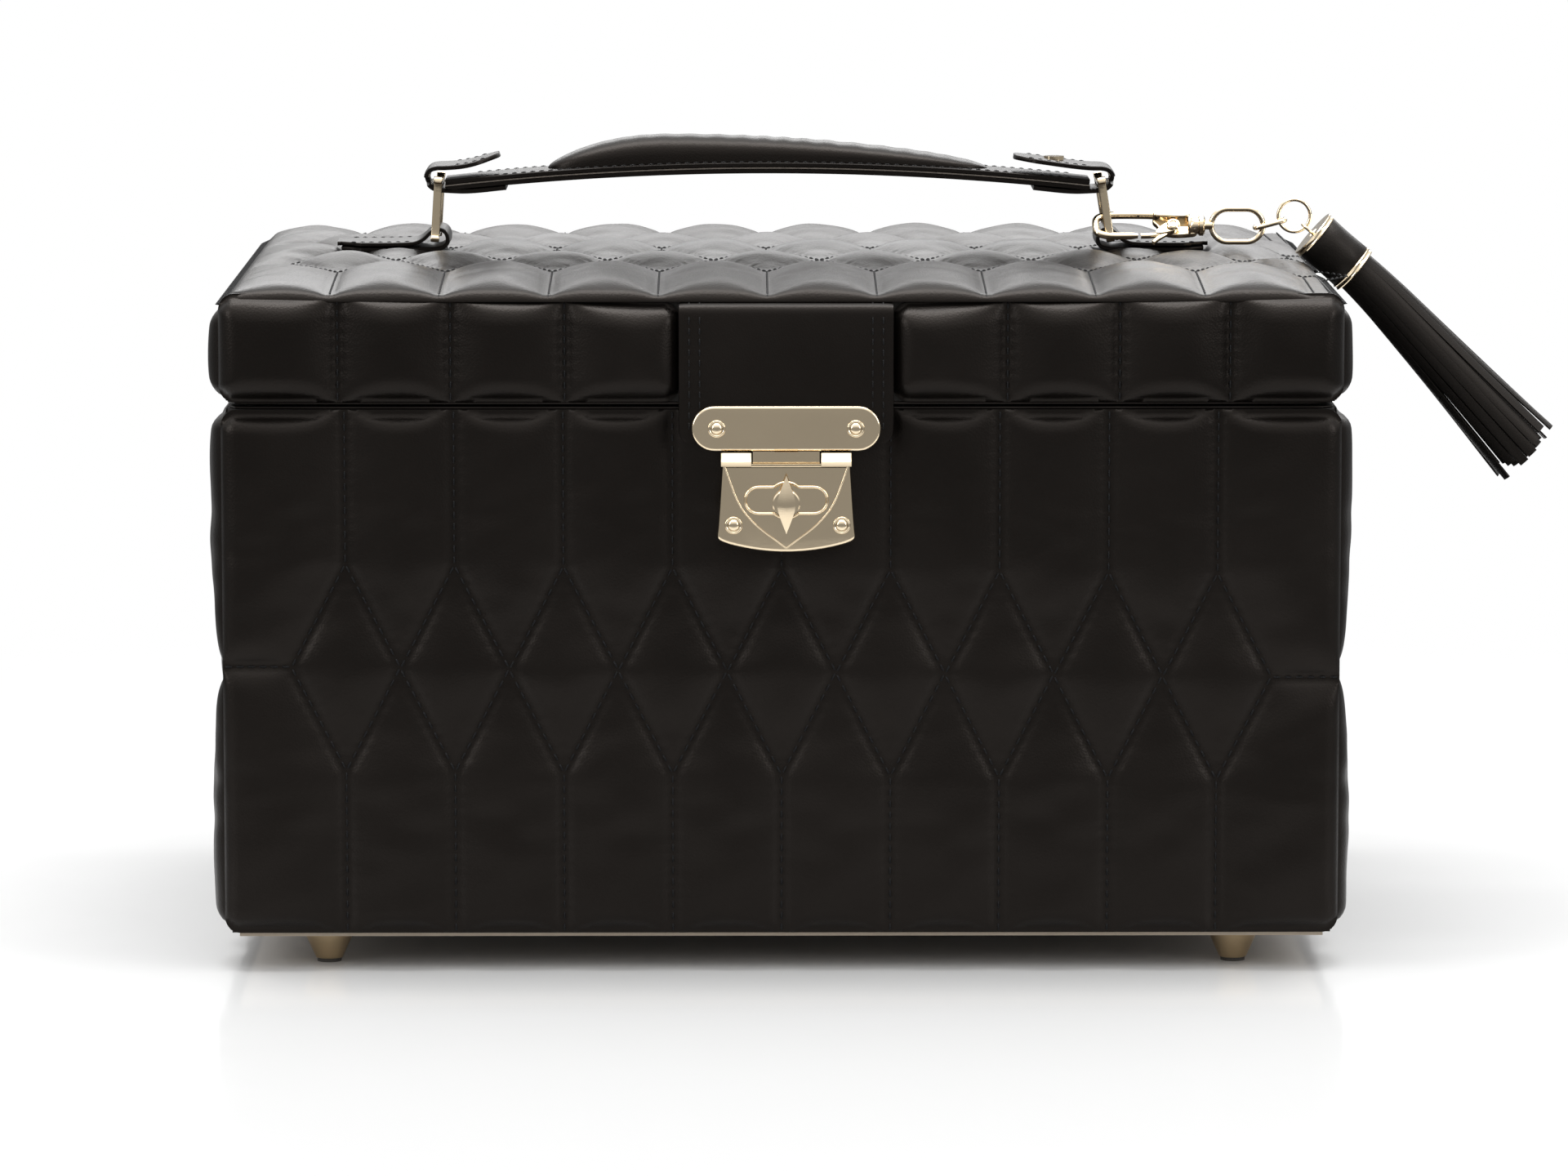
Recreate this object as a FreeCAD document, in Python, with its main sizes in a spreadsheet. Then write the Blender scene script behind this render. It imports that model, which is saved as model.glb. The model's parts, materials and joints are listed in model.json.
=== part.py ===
import FreeCAD, Part
import math
import os
import Sketcher
from FreeCAD import Placement, Rotation, Vector

# Leather jewellery case, in millimetres.
# Origin on the standing plane under the middle of the case, +X to its right, +Y to its back, +Z up.
# The carcass is boards, each face carries a padded leather panel, the lid turns on two brass hinges
# behind the back panels, and a flat leather handle swings on two rings sewn to the lid.

DIMENSIONS = {
    # carcass
    "board_x": 158, "board_y": 109, "board": 5, "body_floor": 10.9, "body_top": 162.2,
    "lid_floor": 164.4, "lid_roof": 193, "panel_gap": 0.2, "strap_gap": 0.4, "land_drop": 2,
    "weld": 0.1, "overshoot": 1,
    # padded leather panels, measured out from the boards
    "front_pad": 4, "side_pad": 5.5, "lid_front_pad": 6.5, "corner_x": 160, "lid_corner_x": 161,
    "pad_round": 3, "lid_side_top": 191, "roof_edge": 193.6, "roof_seam": 194.9, "roof_crest": 199,
    "roof_x": 158, "roof_y": 111, "roof_flat_x": 138,
    # standing parts
    "cover": 1.4, "cover_inset": 2, "foot_x": 131, "foot_y": 93, "foot_height": 9.5, "foot_top_r": 7.5,
    "foot_tip_r": 3.75, "foot_pad": 1, "foot_pad_r": 3.5,
    # lining and fittings inside
    "lining": 1.2, "well_height": 60, "divider": 3, "ledge": 4, "ledge_top": 92, "fit_gap": 1,
    "tray_height": 64, "tray_wall": 3, "tray_split_y": 22, "tray_wall_drop": 2, "roll_r": 6.5,
    "lining_low": 1, "mirror_x": 112, "mirror_y": 72, "mirror": 2,
    # closure
    "latch_x": 1.3, "strap_width": 61, "strap_low": 153, "strap_leather": 1.6, "strap_face": 114.9,
    "strap_round": 5, "bar_half": 27, "bar_half_high": 6.5, "bar_z": 157.3, "bar_plate": 1.2,
    "bar_rivet_x": 19.8, "tongue_half": 9.5, "tongue_low": 139.5, "tongue_plate": 0.8,
    "knuckle_half": 3.35, "lock_top": 147.3, "lock_low": 122.1, "lock_shoulder": 125.4,
    "lock_half_top": 18.2, "lock_half_low": 19.9, "lock_face": 118.2, "lock_back": 113.0,
    "lock_wall": 1.1, "pocket_half": 10.3, "pocket_low": 128, "boss": 0.8, "boss_half": 11.7,
    "boss_half_high": 3.8, "boss_z": 137.1, "boss_r": 5.1, "knob_z": 136.2, "knob_r": 4,
    "knob_half": 8.3, "knob_half_wide": 2.6, "knob_deep": 4, "shaft_r": 1.6, "shaft_fit": 0.05,
    "lock_rivet_x": 15.4, "lock_rivet_z": 129.9, "rivet_r": 2.5, "rivet_shank_r": 1.2,
    "rivet_flange": 0.5, "rivet_dome": 0.8, "rivet_dome_r": 1.75, "lock_rivet_shift": 0.4, "lip": 1.1,
    "lip_high": 1.4, "knob_base": 1.1, "pawl": 0.8, "pawl_gap": 1.2, "knob_fit": 0.1,
    "knob_waist": 1.092, "pawl_half": 2.4, "pawl_reach": 6.8, "tongue_bend": 1.2,
    # hinges
    "hinge_x": 95, "hinge_half": 15, "hinge_y": 115, "hinge_z": 163.3, "leaf": 1, "barrel_r": 2,
    "pin_r": 1, "pin_fit": 0.03, "leaf_far": 19, "leaf_near": 2.3, "screw_head_r": 1.8,
    "screw_head": 0.7, "screw_r": 1, "foot_screw_r": 1.5, "foot_screw_low": 3, "foot_screw_long": 10.5,
    "screw_bite": 3, "screw_share": 0.6, "knuckle_trim": 0.1,
    # handle and rings
    "strap_half_y": 11, "chape_z": 199, "chape_leather": 1.5, "chape_r": 3.5, "chape_long": 28,
    "pivot_z": 202.5, "left_pivot_x": -102.5, "right_pivot_x": 98.5, "left_lean": 3.5, "right_lean": -9,
    "ring_half_y": 12.75, "ring_height": 19.7, "ring_bar": 1, "ring_band": 2.5, "loop_r": 4.2,
    "loop_leather": 1.8, "handle_strap": 3.6, "arch_low": 217, "arch_crest": 222.3, "grip_left": -69,
    "grip_right": 62, "grip_crest": 233.5, "grip_seat": 0.05, "grip_crest_x": -33,
    "grip_left_top": 226.5, "grip_right_top": 225.5, "grip_half_y": 10, "left_tip_x": -84,
    "left_tip_z": 227.4, "right_tip_x": 70, "right_tip_z": 226.4, "stud_x": 82, "stud_r": 3,
    "stud": 1.2, "stud_sink": 0.1,
    # clasp, links and tassel
    "charm_y": -12.25, "charm_z": 207, "clasp_tilt": 40, "hook_left": 93.3, "hook_right": 115,
    "hook_half": 5.5, "hook_wire_r": 1.1, "gate_tip": 107.2, "gate_gap": 0.8, "gate_long": 6.4,
    "mouth_long": 9, "clasp_cut": 4, "pin_fit_r": 0.05, "gate_r": 1, "gate_pivot_x": 117,
    "gate_pivot_v": -1, "gate_pin_r": 1, "gate_low_w": -0.4, "gate_web": 1.6, "web_start": 4,
    "web_half": 1.6, "web_above": 2.1, "web_edge": 0.9, "web_lift": 1.2, "cheek_left": 112.4,
    "cheek_right": 124.9, "cheek_half_v": 2.8, "cheek_mid_v": 0.2, "cheek_low_w": -2.1, "cheek": 1.5,
    "spine_right": 121.9, "spine_low_v": 1.9, "spine_high": 3.4, "spine": 4.1, "pin_head_r": 1.9,
    "pin_head": 0.8, "pin_long": 3, "collar_left": 121.5, "collar_right": 126.5, "collar_r": 3,
    "stem_r": 1.2, "stem_fit": 0.06, "head_fit": 0.2, "chamber_start": 0.8, "chamber_long": 2.6,
    "head_start": 1.2, "head_long": 1.4, "stem_start": 1.5, "throat_start": 3, "eye_left": 127.6,
    "eye_right": 144.6, "eye_half": 5.7, "eye_wire_r": 0.8, "link_half": 5.1, "link_half_y": 3.3,
    "link_wire_r": 0.75, "link_rise": 15, "link_play": 0.7, "ring_play": 0.3, "ring_r": 4.8,
    "ring_wire_r": 0.5, "ring_rise": 20, "tassel_drop": 41, "bail_r": 1.9, "bail_wire_r": 0.45,
    "bail_mid": 0.7, "cap_start": 2.7, "skirt_start": 0.9, "charm_hang": 45, "cap_r": 7.5,
    "cap_long": 17, "collar_out": 0.3, "cap_collar": 1.8, "skirt_drop": 47, "skirt_long": 75,
    "skirt_top_r": 6.8, "skirt_low_r": 12.2,
}

doc = FreeCAD.newDocument("jewellery_case")
sheet = doc.addObject("Spreadsheet::Sheet", "Dims")
for row, (name, number) in enumerate(DIMENSIONS.items(), 1):
    sheet.set(f"A{row}", name)
    sheet.set(f"B{row}", str(number))
    sheet.setAlias(f"B{row}", name)
doc.recompute()


class Size:
    """A length with the sheet expression that it comes from, so both stay in step."""

    def __init__(self, value, text=None):
        self.value = float(value)
        self.text = text or repr(float(value))

    @staticmethod
    def of(other):
        return other if isinstance(other, Size) else Size(other)

    def __add__(self, other):
        other = Size.of(other)
        return Size(self.value + other.value, f"({self.text} + {other.text})")

    def __sub__(self, other):
        other = Size.of(other)
        return Size(self.value - other.value, f"({self.text} - {other.text})")

    def __mul__(self, other):
        other = Size.of(other)
        return Size(self.value * other.value, f"({self.text} * {other.text})")

    def __truediv__(self, other):
        other = Size.of(other)
        return Size(self.value / other.value, f"({self.text} / {other.text})")

    def __neg__(self):
        return Size(-self.value, f"(0 - {self.text})")

    __radd__ = __add__
    __rmul__ = __mul__

    def __rsub__(self, other):
        return Size.of(other) - self


class Sheet:
    """Gives each aliased cell as an attribute."""

    def __getattr__(self, alias):
        return Size(sheet.get(alias), f"Dims.{alias}")


D = Sheet()
nodes = {}


def keep(label, item):
    """Marks an object as a finished sub-part whose label is its file name."""
    item.Label = label
    nodes[label] = item
    return item


def bind(item, path, size):
    item.setExpression(path, Size.of(size).text)


# ---- building blocks ----

def box(label, x, y, z):
    """A board between the low and high size of each axis."""
    item = doc.addObject("Part::Box", label)
    for side, axis, (low, high) in zip(("Length", "Width", "Height"), "xyz", (x, y, z)):
        low = Size.of(low)
        high = Size.of(high)
        bind(item, side, high - low)
        bind(item, f".Placement.Base.{axis}", low)
    return item


def centred(middle, half):
    return (middle - half, middle + half)


def both(half):
    half = Size.of(half)
    return (-half, half)


def cylinder(label, base, direction, radius, length):
    """A round bar from its base point along +X, +Y, -Y or +Z."""
    item = doc.addObject("Part::Cylinder", label)
    bind(item, "Radius", radius)
    bind(item, "Height", length)
    item.Placement = Placement(Vector(), Rotation(Vector(0, 0, 1), Vector(*direction)))
    for axis, size in zip("xyz", base):
        bind(item, f".Placement.Base.{axis}", size)
    return item


def join(label, items):
    item = doc.addObject("Part::MultiFuse", label)
    item.Shapes = items
    return item


def cut(label, base, tool):
    item = doc.addObject("Part::Cut", label)
    item.Base = base
    item.Tool = tool
    return item


def group(label, items):
    """Several like solids that share one node."""
    item = doc.addObject("Part::Compound", label)
    item.Links = items
    return item


def cushion(label, x, y, z, outward, radius):
    """A padded panel: a block whose outward face has rounded edges."""
    block = box(label + "_block", x, y, z)
    doc.recompute()
    outward = Vector(*outward)
    level = max(vertex.Point.dot(outward) for vertex in block.Shape.Vertexes)
    rim = [
        (number, radius.value, radius.value)
        for number, edge in enumerate(block.Shape.Edges, 1)
        if all(abs(vertex.Point.dot(outward) - level) < 1e-6 for vertex in edge.Vertexes)
    ]
    item = doc.addObject("Part::Fillet", label)
    item.Base = block
    item.Edges = rim
    return item


def sketch_in(body, plane, offset):
    """A sketch in one of the body's own origin planes, moved along the plane's normal."""
    sketch = body.newObject("Sketcher::SketchObject", body.Name + "_sketch")
    origin = [part for part in body.Origin.OriginFeatures if part.Role == plane + "_Plane"][0]
    sketch.AttachmentSupport = [(origin, "")]
    sketch.MapMode = "FlatFace"
    bind(sketch, ".AttachmentOffset.Base.z", offset)
    return sketch


def outline(sketch, corners, bulges=None):
    """A closed outline. Each corner is bound to the sheet; bulges gives an arc's middle point by
    the number of the corner that it starts from."""
    bulges = bulges or {}
    points = [Vector(Size.of(u).value, Size.of(v).value, 0) for u, v in corners]
    count = len(points)
    for number, start in enumerate(points):
        end = points[(number + 1) % count]
        if number in bulges:
            middle = Vector(*[Size.of(part).value for part in bulges[number]], 0)
            edge = Part.Arc(start, middle, end)
        else:
            edge = Part.LineSegment(start, end)
        sketch.addGeometry(edge, False)
    ends = []
    for number, start in enumerate(points):
        arc = sketch.Geometry[number]
        forward = (sketch.getPoint(number, 1) - start).Length < 1e-6
        ends.append((1, 2) if forward else (2, 1))
        if hasattr(arc, "Center"):
            chord = points[(number + 1) % count] - start
            upright = abs(chord.x) < abs(chord.y)
            kind, place = ("DistanceX", arc.Center.x) if upright else ("DistanceY", arc.Center.y)
            sketch.addConstraint(Sketcher.Constraint(kind, -1, 1, number, 3, place))
    for number in range(count):
        after = (number + 1) % count
        sketch.addConstraint(
            Sketcher.Constraint("Coincident", number, ends[number][1], after, ends[after][0])
        )
    for number, corner in enumerate(corners):
        for kind, size in zip(("DistanceX", "DistanceY"), corner):
            size = Size.of(size)
            made = sketch.addConstraint(
                Sketcher.Constraint(kind, -1, 1, number, ends[number][0], size.value)
            )
            bind(sketch, f"Constraints[{made}]", size)


def circle(sketch, u, v, radius):
    """A circle bound to the sheet by its centre and radius."""
    centre = Vector(Size.of(u).value, Size.of(v).value, 0)
    sketch.addGeometry(Part.Circle(centre, Vector(0, 0, 1), radius.value), False)
    number = sketch.GeometryCount - 1
    for kind, size in (("DistanceX", u), ("DistanceY", v)):
        size = Size.of(size)
        made = sketch.addConstraint(Sketcher.Constraint(kind, -1, 1, number, 3, size.value))
        bind(sketch, f"Constraints[{made}]", size)
    made = sketch.addConstraint(Sketcher.Constraint("Radius", number, radius.value))
    bind(sketch, f"Constraints[{made}]", radius)


def pad(body, sketch, length):
    feature = body.newObject("PartDesign::Pad", body.Name + "_pad")
    feature.Profile = sketch
    bind(feature, "Length", length)
    body.Tip = feature
    return feature


def pocket(body, sketch, depth):
    """Cuts against the sketch's normal and checks that the body lost volume."""
    doc.recompute()
    before = body.Shape.Volume
    feature = body.newObject("PartDesign::Pocket", body.Name + "_pocket")
    feature.Profile = sketch
    bind(feature, "Length", depth)
    body.Tip = feature
    doc.recompute()
    if body.Shape.Volume > before - 0.01:
        raise RuntimeError(f"{body.Label}: the pocket cut nothing")
    return feature


def prism(label, plane, low, high, corners, bulges=None):
    """A body padded from an outline in a plane, between two distances along the plane's normal:
    +X for YZ and -Y for XZ."""
    body = doc.addObject("PartDesign::Body", label)
    sketch = sketch_in(body, plane, low)
    outline(sketch, corners, bulges)
    pad(body, sketch, Size.of(high) - low)
    return body


def feature(label, shape, placement=None):
    """A sub-part made by Part's own functions, placed after its shape is set."""
    item = doc.addObject("Part::Feature", label)
    item.Shape = shape
    item.Placement = placement or Placement()
    return item


def stadium_ring(left, right, half_width, wire_r):
    """A closed wire ring of two straight sides and two half-round ends, in its own XY plane."""
    bend = half_width - wire_r
    start = left + half_width
    end = right - half_width
    pieces = []
    for middle, turn in ((start, 90), (end, -90)):
        half_ring = Part.makeTorus(bend, wire_r, Vector(), Vector(0, 0, 1), 0, 360, 180)
        half_ring.rotate(Vector(), Vector(0, 0, 1), turn)
        half_ring.translate(Vector(middle, 0, 0))
        pieces.append(half_ring)
    for side in (-bend, bend):
        pieces.append(Part.makeCylinder(wire_r, end - start, Vector(start, side, 0), Vector(1, 0, 0)))
    return pieces[0].multiFuse(pieces[1:]).removeSplitter()


# ---- carcass boards ----

inner_x = D.board_x - D.board
inner_y = D.board_y - D.board
floor_top = D.body_floor + D.board
lid_inner = D.lid_roof - D.board

keep("base_bottom_board", box("base_bottom_board", both(inner_x), both(inner_y), (D.body_floor, floor_top)))
keep("lid_top_board", box("lid_top_board", both(D.board_x), both(D.board_y), (lid_inner, D.lid_roof)))
for part, low, high in (("base", D.body_floor, D.body_top), ("lid", D.lid_floor, lid_inner)):
    for end, span in (("left", (-D.board_x, -inner_x)), ("right", (inner_x, D.board_x))):
        keep(f"{part}_{end}_board", box(f"{part}_{end}_board", span, both(inner_y), (low, high)))
    keep(f"{part}_back_board", box(f"{part}_back_board", both(D.board_x), (inner_y, D.board_y), (low, high)))
keep("base_front_board", box("base_front_board", both(D.board_x), (-D.board_y, -inner_y),
                             (D.body_floor, D.body_top)))

# The lid's front board carries a land that backs the closure strap.
strap_x = centred(D.latch_x, D.strap_width / 2)
strap_back = D.strap_face - D.strap_leather
front_slab = box("lid_front_slab", both(D.board_x), (-D.board_y, -inner_y), (D.lid_floor, lid_inner))
front_land = box("lid_front_land", strap_x, (-strap_back, -D.board_y),
                 (D.lid_floor, lid_inner - D.land_drop))
keep("lid_front_board", join("lid_front_board", [front_slab, front_land]))

# ---- padded leather panels ----

front_face = D.board_y + D.front_pad
side_face = D.board_x + D.side_pad
body_span = (D.body_floor, D.body_top)
lid_span = (D.lid_floor + D.panel_gap, D.lid_roof - D.panel_gap)
lid_front_y = (-D.board_y - D.lid_front_pad, -D.board_y)
panels = [
    ("base_front_skin", both(D.corner_x), (-front_face, -D.board_y), body_span, (0, -1, 0)),
    ("base_back_skin", both(D.corner_x), (D.board_y, front_face), body_span, (0, 1, 0)),
    ("base_left_skin", (-side_face, -D.board_x), both(D.board_y), body_span, (-1, 0, 0)),
    ("base_right_skin", (D.board_x, side_face), both(D.board_y), body_span, (1, 0, 0)),
    ("lid_back_skin", both(D.lid_corner_x), (D.board_y, front_face), lid_span, (0, 1, 0)),
    ("lid_left_skin", (-side_face, -D.board_x), both(D.board_y), (lid_span[0], D.lid_side_top), (-1, 0, 0)),
    ("lid_right_skin", (D.board_x, side_face), both(D.board_y), (lid_span[0], D.lid_side_top), (1, 0, 0)),
    ("lid_front_skin_left", (-D.lid_corner_x, strap_x[0] - D.strap_gap), lid_front_y, lid_span, (0, -1, 0)),
    ("lid_front_skin_right", (strap_x[1] + D.strap_gap, D.lid_corner_x), lid_front_y, lid_span, (0, -1, 0)),
]
for label, x, y, z, outward in panels:
    keep(label, cushion(label, x, y, z, outward, D.pad_round))

# The top panel is crowned both ways: the overlap of two arched prisms.
arch_y = prism("roof_arch_y", "YZ", -D.roof_x, D.roof_x,
               [(-D.roof_y, D.lid_roof), (D.roof_y, D.lid_roof), (D.roof_y, D.roof_seam),
                (-D.roof_y, D.roof_seam)],
               {2: (0, D.roof_crest)})
edge_drop = D.roof_crest - D.roof_edge
edge_run = D.roof_x - D.roof_flat_x
arch_mid_x = D.roof_flat_x + edge_run * 0.5
arch_mid_z = D.roof_crest - edge_drop * 0.25
arch_x = prism("roof_arch_x", "XZ", -D.roof_y, D.roof_y,
               [(-D.roof_x, D.lid_roof), (D.roof_x, D.lid_roof), (D.roof_x, D.roof_edge),
                (D.roof_flat_x, D.roof_crest), (-D.roof_flat_x, D.roof_crest), (-D.roof_x, D.roof_edge)],
               {2: (arch_mid_x, arch_mid_z), 4: (-arch_mid_x, arch_mid_z)})
crown = doc.addObject("Part::Common", "lid_top_skin")
crown.Base = arch_y
crown.Tool = arch_x
keep("lid_top_skin", crown)

# ---- base cover, feet, screws ----

cover_low = D.body_floor - D.cover
keep("bottom_cover", box("bottom_cover", both(D.board_x - D.cover_inset), both(D.board_y - D.cover_inset),
                         (cover_low, D.body_floor)))
feet = []
foot_pads = []
screws = []
for side_x in (-1, 1):
    for side_y in (-1, 1):
        at_x = D.foot_x * side_x
        at_y = D.foot_y * side_y
        tag = f"{'left' if side_x < 0 else 'right'}_{'front' if side_y < 0 else 'back'}"
        cone = doc.addObject("Part::Cone", "foot_" + tag)
        bind(cone, "Radius1", D.foot_tip_r)
        bind(cone, "Radius2", D.foot_top_r)
        bind(cone, "Height", D.foot_height - D.foot_pad)
        for axis, size in zip("xyz", (at_x, at_y, D.foot_pad)):
            bind(cone, f".Placement.Base.{axis}", size)
        feet.append(cone)
        foot_pads.append(cylinder("foot_pad_" + tag, (at_x, at_y, Size(0)), (0, 0, 1), D.foot_pad_r,
                                  D.foot_pad))
        screws.append(cylinder("foot_screw_" + tag, (at_x, at_y, D.foot_screw_low), (0, 0, 1),
                               D.foot_screw_r, D.foot_screw_long))
keep("feet", group("feet", feet))
keep("foot_pads", group("foot_pads", foot_pads))

# ---- lining, lower well, tray ----

lined_x = inner_x - D.lining
lined_y = inner_y - D.lining
lined_floor = floor_top + D.lining


def lining(label, low, high, sheet_z):
    """Four covered cards against the walls and one against the closed end."""
    cards = [box(label + "_sheet", both(inner_x), both(inner_y), sheet_z)]
    for end, span in (("left", (-inner_x, -lined_x)), ("right", (lined_x, inner_x))):
        cards.append(box(f"{label}_{end}", span, both(lined_y), (low, high)))
    for end, span in (("front", (-inner_y, -lined_y)), ("back", (lined_y, inner_y))):
        cards.append(box(f"{label}_{end}", both(inner_x), span, (low, high)))
    return keep(label, group(label, cards))


lining("base_lining", lined_floor, D.body_top - D.lining_low, (floor_top, lined_floor))
lining("lid_lining", D.lid_floor + D.lining_low, lid_inner - D.lining, (lid_inner - D.lining, lid_inner))

half_wall = D.divider / 2
well_top = lined_floor + D.well_height
long_wall = box("well_wall_long", both(lined_x), both(half_wall), (lined_floor, well_top))
cross_walls = [
    box(f"well_wall_{name}", centred(lined_x * place, half_wall), (-lined_y, -half_wall),
        (lined_floor, well_top))
    for name, place in (("left", -1 / 3), ("right", 1 / 3))
]
keep("well_dividers", group("well_dividers", [long_wall] + cross_walls))

ledge_z = (D.ledge_top - D.ledge, D.ledge_top)
keep("tray_ledges", group("tray_ledges", [
    box("tray_ledge_left", (-lined_x, D.ledge - lined_x), both(lined_y), ledge_z),
    box("tray_ledge_right", (lined_x - D.ledge, lined_x), both(lined_y), ledge_z),
]))

tray_x = lined_x - D.fit_gap
tray_y = lined_y - D.fit_gap
tray_low = D.ledge_top
tray_floor = tray_low + D.tray_wall
tray_top = tray_low + D.tray_height
tray_in_x = tray_x - D.tray_wall
tray_in_y = tray_y - D.tray_wall
tray = [box("tray_floor", both(tray_x), both(tray_y), (tray_low, tray_floor))]
for end, span in (("left", (-tray_x, -tray_in_x)), ("right", (tray_in_x, tray_x))):
    tray.append(box("tray_" + end, span, both(tray_in_y), (tray_floor, tray_top)))
for end, span in (("front", (-tray_y, -tray_in_y)), ("back", (tray_in_y, tray_y))):
    tray.append(box("tray_" + end, both(tray_x), span, (tray_floor, tray_top)))
keep("tray", group("tray", tray))

split_y = -D.tray_split_y
tray_walls = [box("tray_wall_long", both(tray_in_x), centred(split_y, half_wall),
                  (tray_floor, tray_top - D.tray_wall_drop))]
for name, place in (("left", -1 / 3), ("right", 1 / 3)):
    tray_walls.append(box("tray_wall_" + name, centred(tray_in_x * place, half_wall),
                          (split_y + half_wall, tray_in_y), (tray_floor, tray_top - D.tray_wall_drop)))
keep("tray_dividers", group("tray_dividers", tray_walls))

# Ring rolls fill the front bay of the tray, side by side.
roll_count = 5
roll_pitch = (split_y - half_wall + tray_in_y) / roll_count
roll_z = tray_floor + D.roll_r
rolls = [
    cylinder(f"ring_roll_{number}", (-tray_in_x, -tray_in_y + roll_pitch * (number + 0.5), roll_z),
             (1, 0, 0), D.roll_r, tray_in_x * 2)
    for number in range(roll_count)
]
keep("ring_rolls", group("ring_rolls", rolls))

mirror_top = lid_inner - D.lining
keep("mirror", box("mirror", both(D.mirror_x), both(D.mirror_y), (mirror_top - D.mirror, mirror_top)))

# ---- closure strap, latch bar, tongue ----

strap_top = D.lid_roof - D.panel_gap
bend_y = D.strap_face - D.strap_round
bend_z = strap_top - D.strap_round
inner_round = D.strap_round - D.strap_leather
slant = math.sqrt(0.5)
keep("closure_strap", prism(
    "closure_strap", "YZ", *strap_x,
    [(-D.strap_face, D.strap_low), (-strap_back, D.strap_low), (-strap_back, bend_z),
     (-bend_y, strap_top - D.strap_leather), (-D.board_y - D.panel_gap, strap_top - D.strap_leather),
     (-D.board_y - D.panel_gap, strap_top), (-bend_y, strap_top), (-D.strap_face, bend_z)],
    {2: (-bend_y - inner_round * slant, bend_z + inner_round * slant),
     6: (-bend_y - D.strap_round * slant, bend_z + D.strap_round * slant)}))


def stadium(middle_x, middle_z, half, half_high):
    """The corners and bulges of a bar with half-round ends."""
    straight = half - half_high
    corners = [(middle_x - straight, middle_z - half_high), (middle_x + straight, middle_z - half_high),
               (middle_x + straight, middle_z + half_high), (middle_x - straight, middle_z + half_high)]
    return corners, {1: (middle_x + half, middle_z), 3: (middle_x - half, middle_z)}


bar_front = D.strap_face + D.bar_plate
keep("latch_bar", prism("latch_bar", "XZ", D.strap_face, bar_front,
                        *stadium(D.latch_x, D.bar_z, D.bar_half, D.bar_half_high)))

tongue_front = bar_front - D.weld
tongue_back = tongue_front - D.tongue_plate
bar_low = D.bar_z - D.bar_half_high
tongue_blade = box("tongue_blade", centred(D.latch_x, D.tongue_half), (-tongue_front, -tongue_back),
                   (D.tongue_low, bar_low))
tongue_knuckle = box("tongue_knuckle", centred(D.latch_x, D.knuckle_half),
                     (-tongue_front - D.tongue_bend, -tongue_front), (D.lock_top + D.overshoot, bar_low))
keep("latch_tongue", join("latch_tongue", [tongue_blade, tongue_knuckle]))


def rivet(label, x, z, face, back):
    """A flanged dome head in front of the face, with a shank to the back."""
    return join(label, [
        cylinder(label + "_flange", (x, -face, z), (0, -1, 0), D.rivet_r, D.rivet_flange),
        cylinder(label + "_dome", (x, D.weld - D.rivet_flange - face, z), (0, -1, 0), D.rivet_dome_r,
                 D.rivet_dome),
        cylinder(label + "_shank", (x, -face - D.weld, z), (0, 1, 0), D.rivet_shank_r,
                 face + D.weld - back),
    ])


keep("latch_rivets", group("latch_rivets", [
    rivet(f"latch_rivet_{name}", D.latch_x + D.bar_rivet_x * side, D.bar_z, bar_front, strap_back)
    for name, side in (("left", -1), ("right", 1))
]))

# ---- lock plate, knob, pawl ----

lock = doc.addObject("PartDesign::Body", "lock_plate")
plate_sketch = sketch_in(lock, "XZ", D.lock_back)
outline(plate_sketch,
        [(D.latch_x - D.lock_half_low, D.lock_shoulder), (D.latch_x + D.lock_half_low, D.lock_shoulder),
         (D.latch_x + D.lock_half_top, D.lock_top), (D.latch_x - D.lock_half_top, D.lock_top)],
        {0: (D.latch_x, D.lock_low)})
pad(lock, plate_sketch, D.lock_face - D.lock_back)
pocket_sketch = sketch_in(lock, "XZ", D.lock_face - D.lock_wall)
pocket_x = centred(D.latch_x, D.pocket_half)
pocket_top = D.lock_top + D.overshoot
outline(pocket_sketch, [(pocket_x[0], D.pocket_low), (pocket_x[1], D.pocket_low),
                        (pocket_x[1], pocket_top), (pocket_x[0], pocket_top)])
pocket(lock, pocket_sketch, D.lock_face)
boss_sketch = sketch_in(lock, "XZ", D.lock_face)
outline(boss_sketch, *stadium(D.latch_x, D.boss_z, D.boss_half, D.boss_half_high))
pad(lock, boss_sketch, D.boss)
round_sketch = sketch_in(lock, "XZ", D.lock_face)
circle(round_sketch, D.latch_x, D.knob_z, D.boss_r)
pad(lock, round_sketch, D.boss)
lip_sketch = sketch_in(lock, "XZ", D.lock_face)
lip_x = centred(D.latch_x, D.tongue_half)
lip_low = D.lock_top - D.lip_high
outline(lip_sketch, [(lip_x[0], lip_low), (lip_x[1], lip_low), (lip_x[1], D.lock_top),
                     (lip_x[0], D.lock_top)])
pad(lock, lip_sketch, D.lip)
bore_sketch = sketch_in(lock, "XZ", D.lock_face + D.boss + D.overshoot)
circle(bore_sketch, D.latch_x, D.knob_z, D.shaft_r + D.shaft_fit)
pocket(lock, bore_sketch, D.boss + D.lock_wall + D.overshoot * 2)
keep("lock_plate", lock)

keep("lock_rivets", group("lock_rivets", [
    rivet(f"lock_rivet_{name}", D.latch_x + D.lock_rivet_x * side + D.lock_rivet_shift, D.lock_rivet_z,
          D.lock_face, inner_y)
    for name, side in (("left", -1), ("right", 1))
]))

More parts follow.
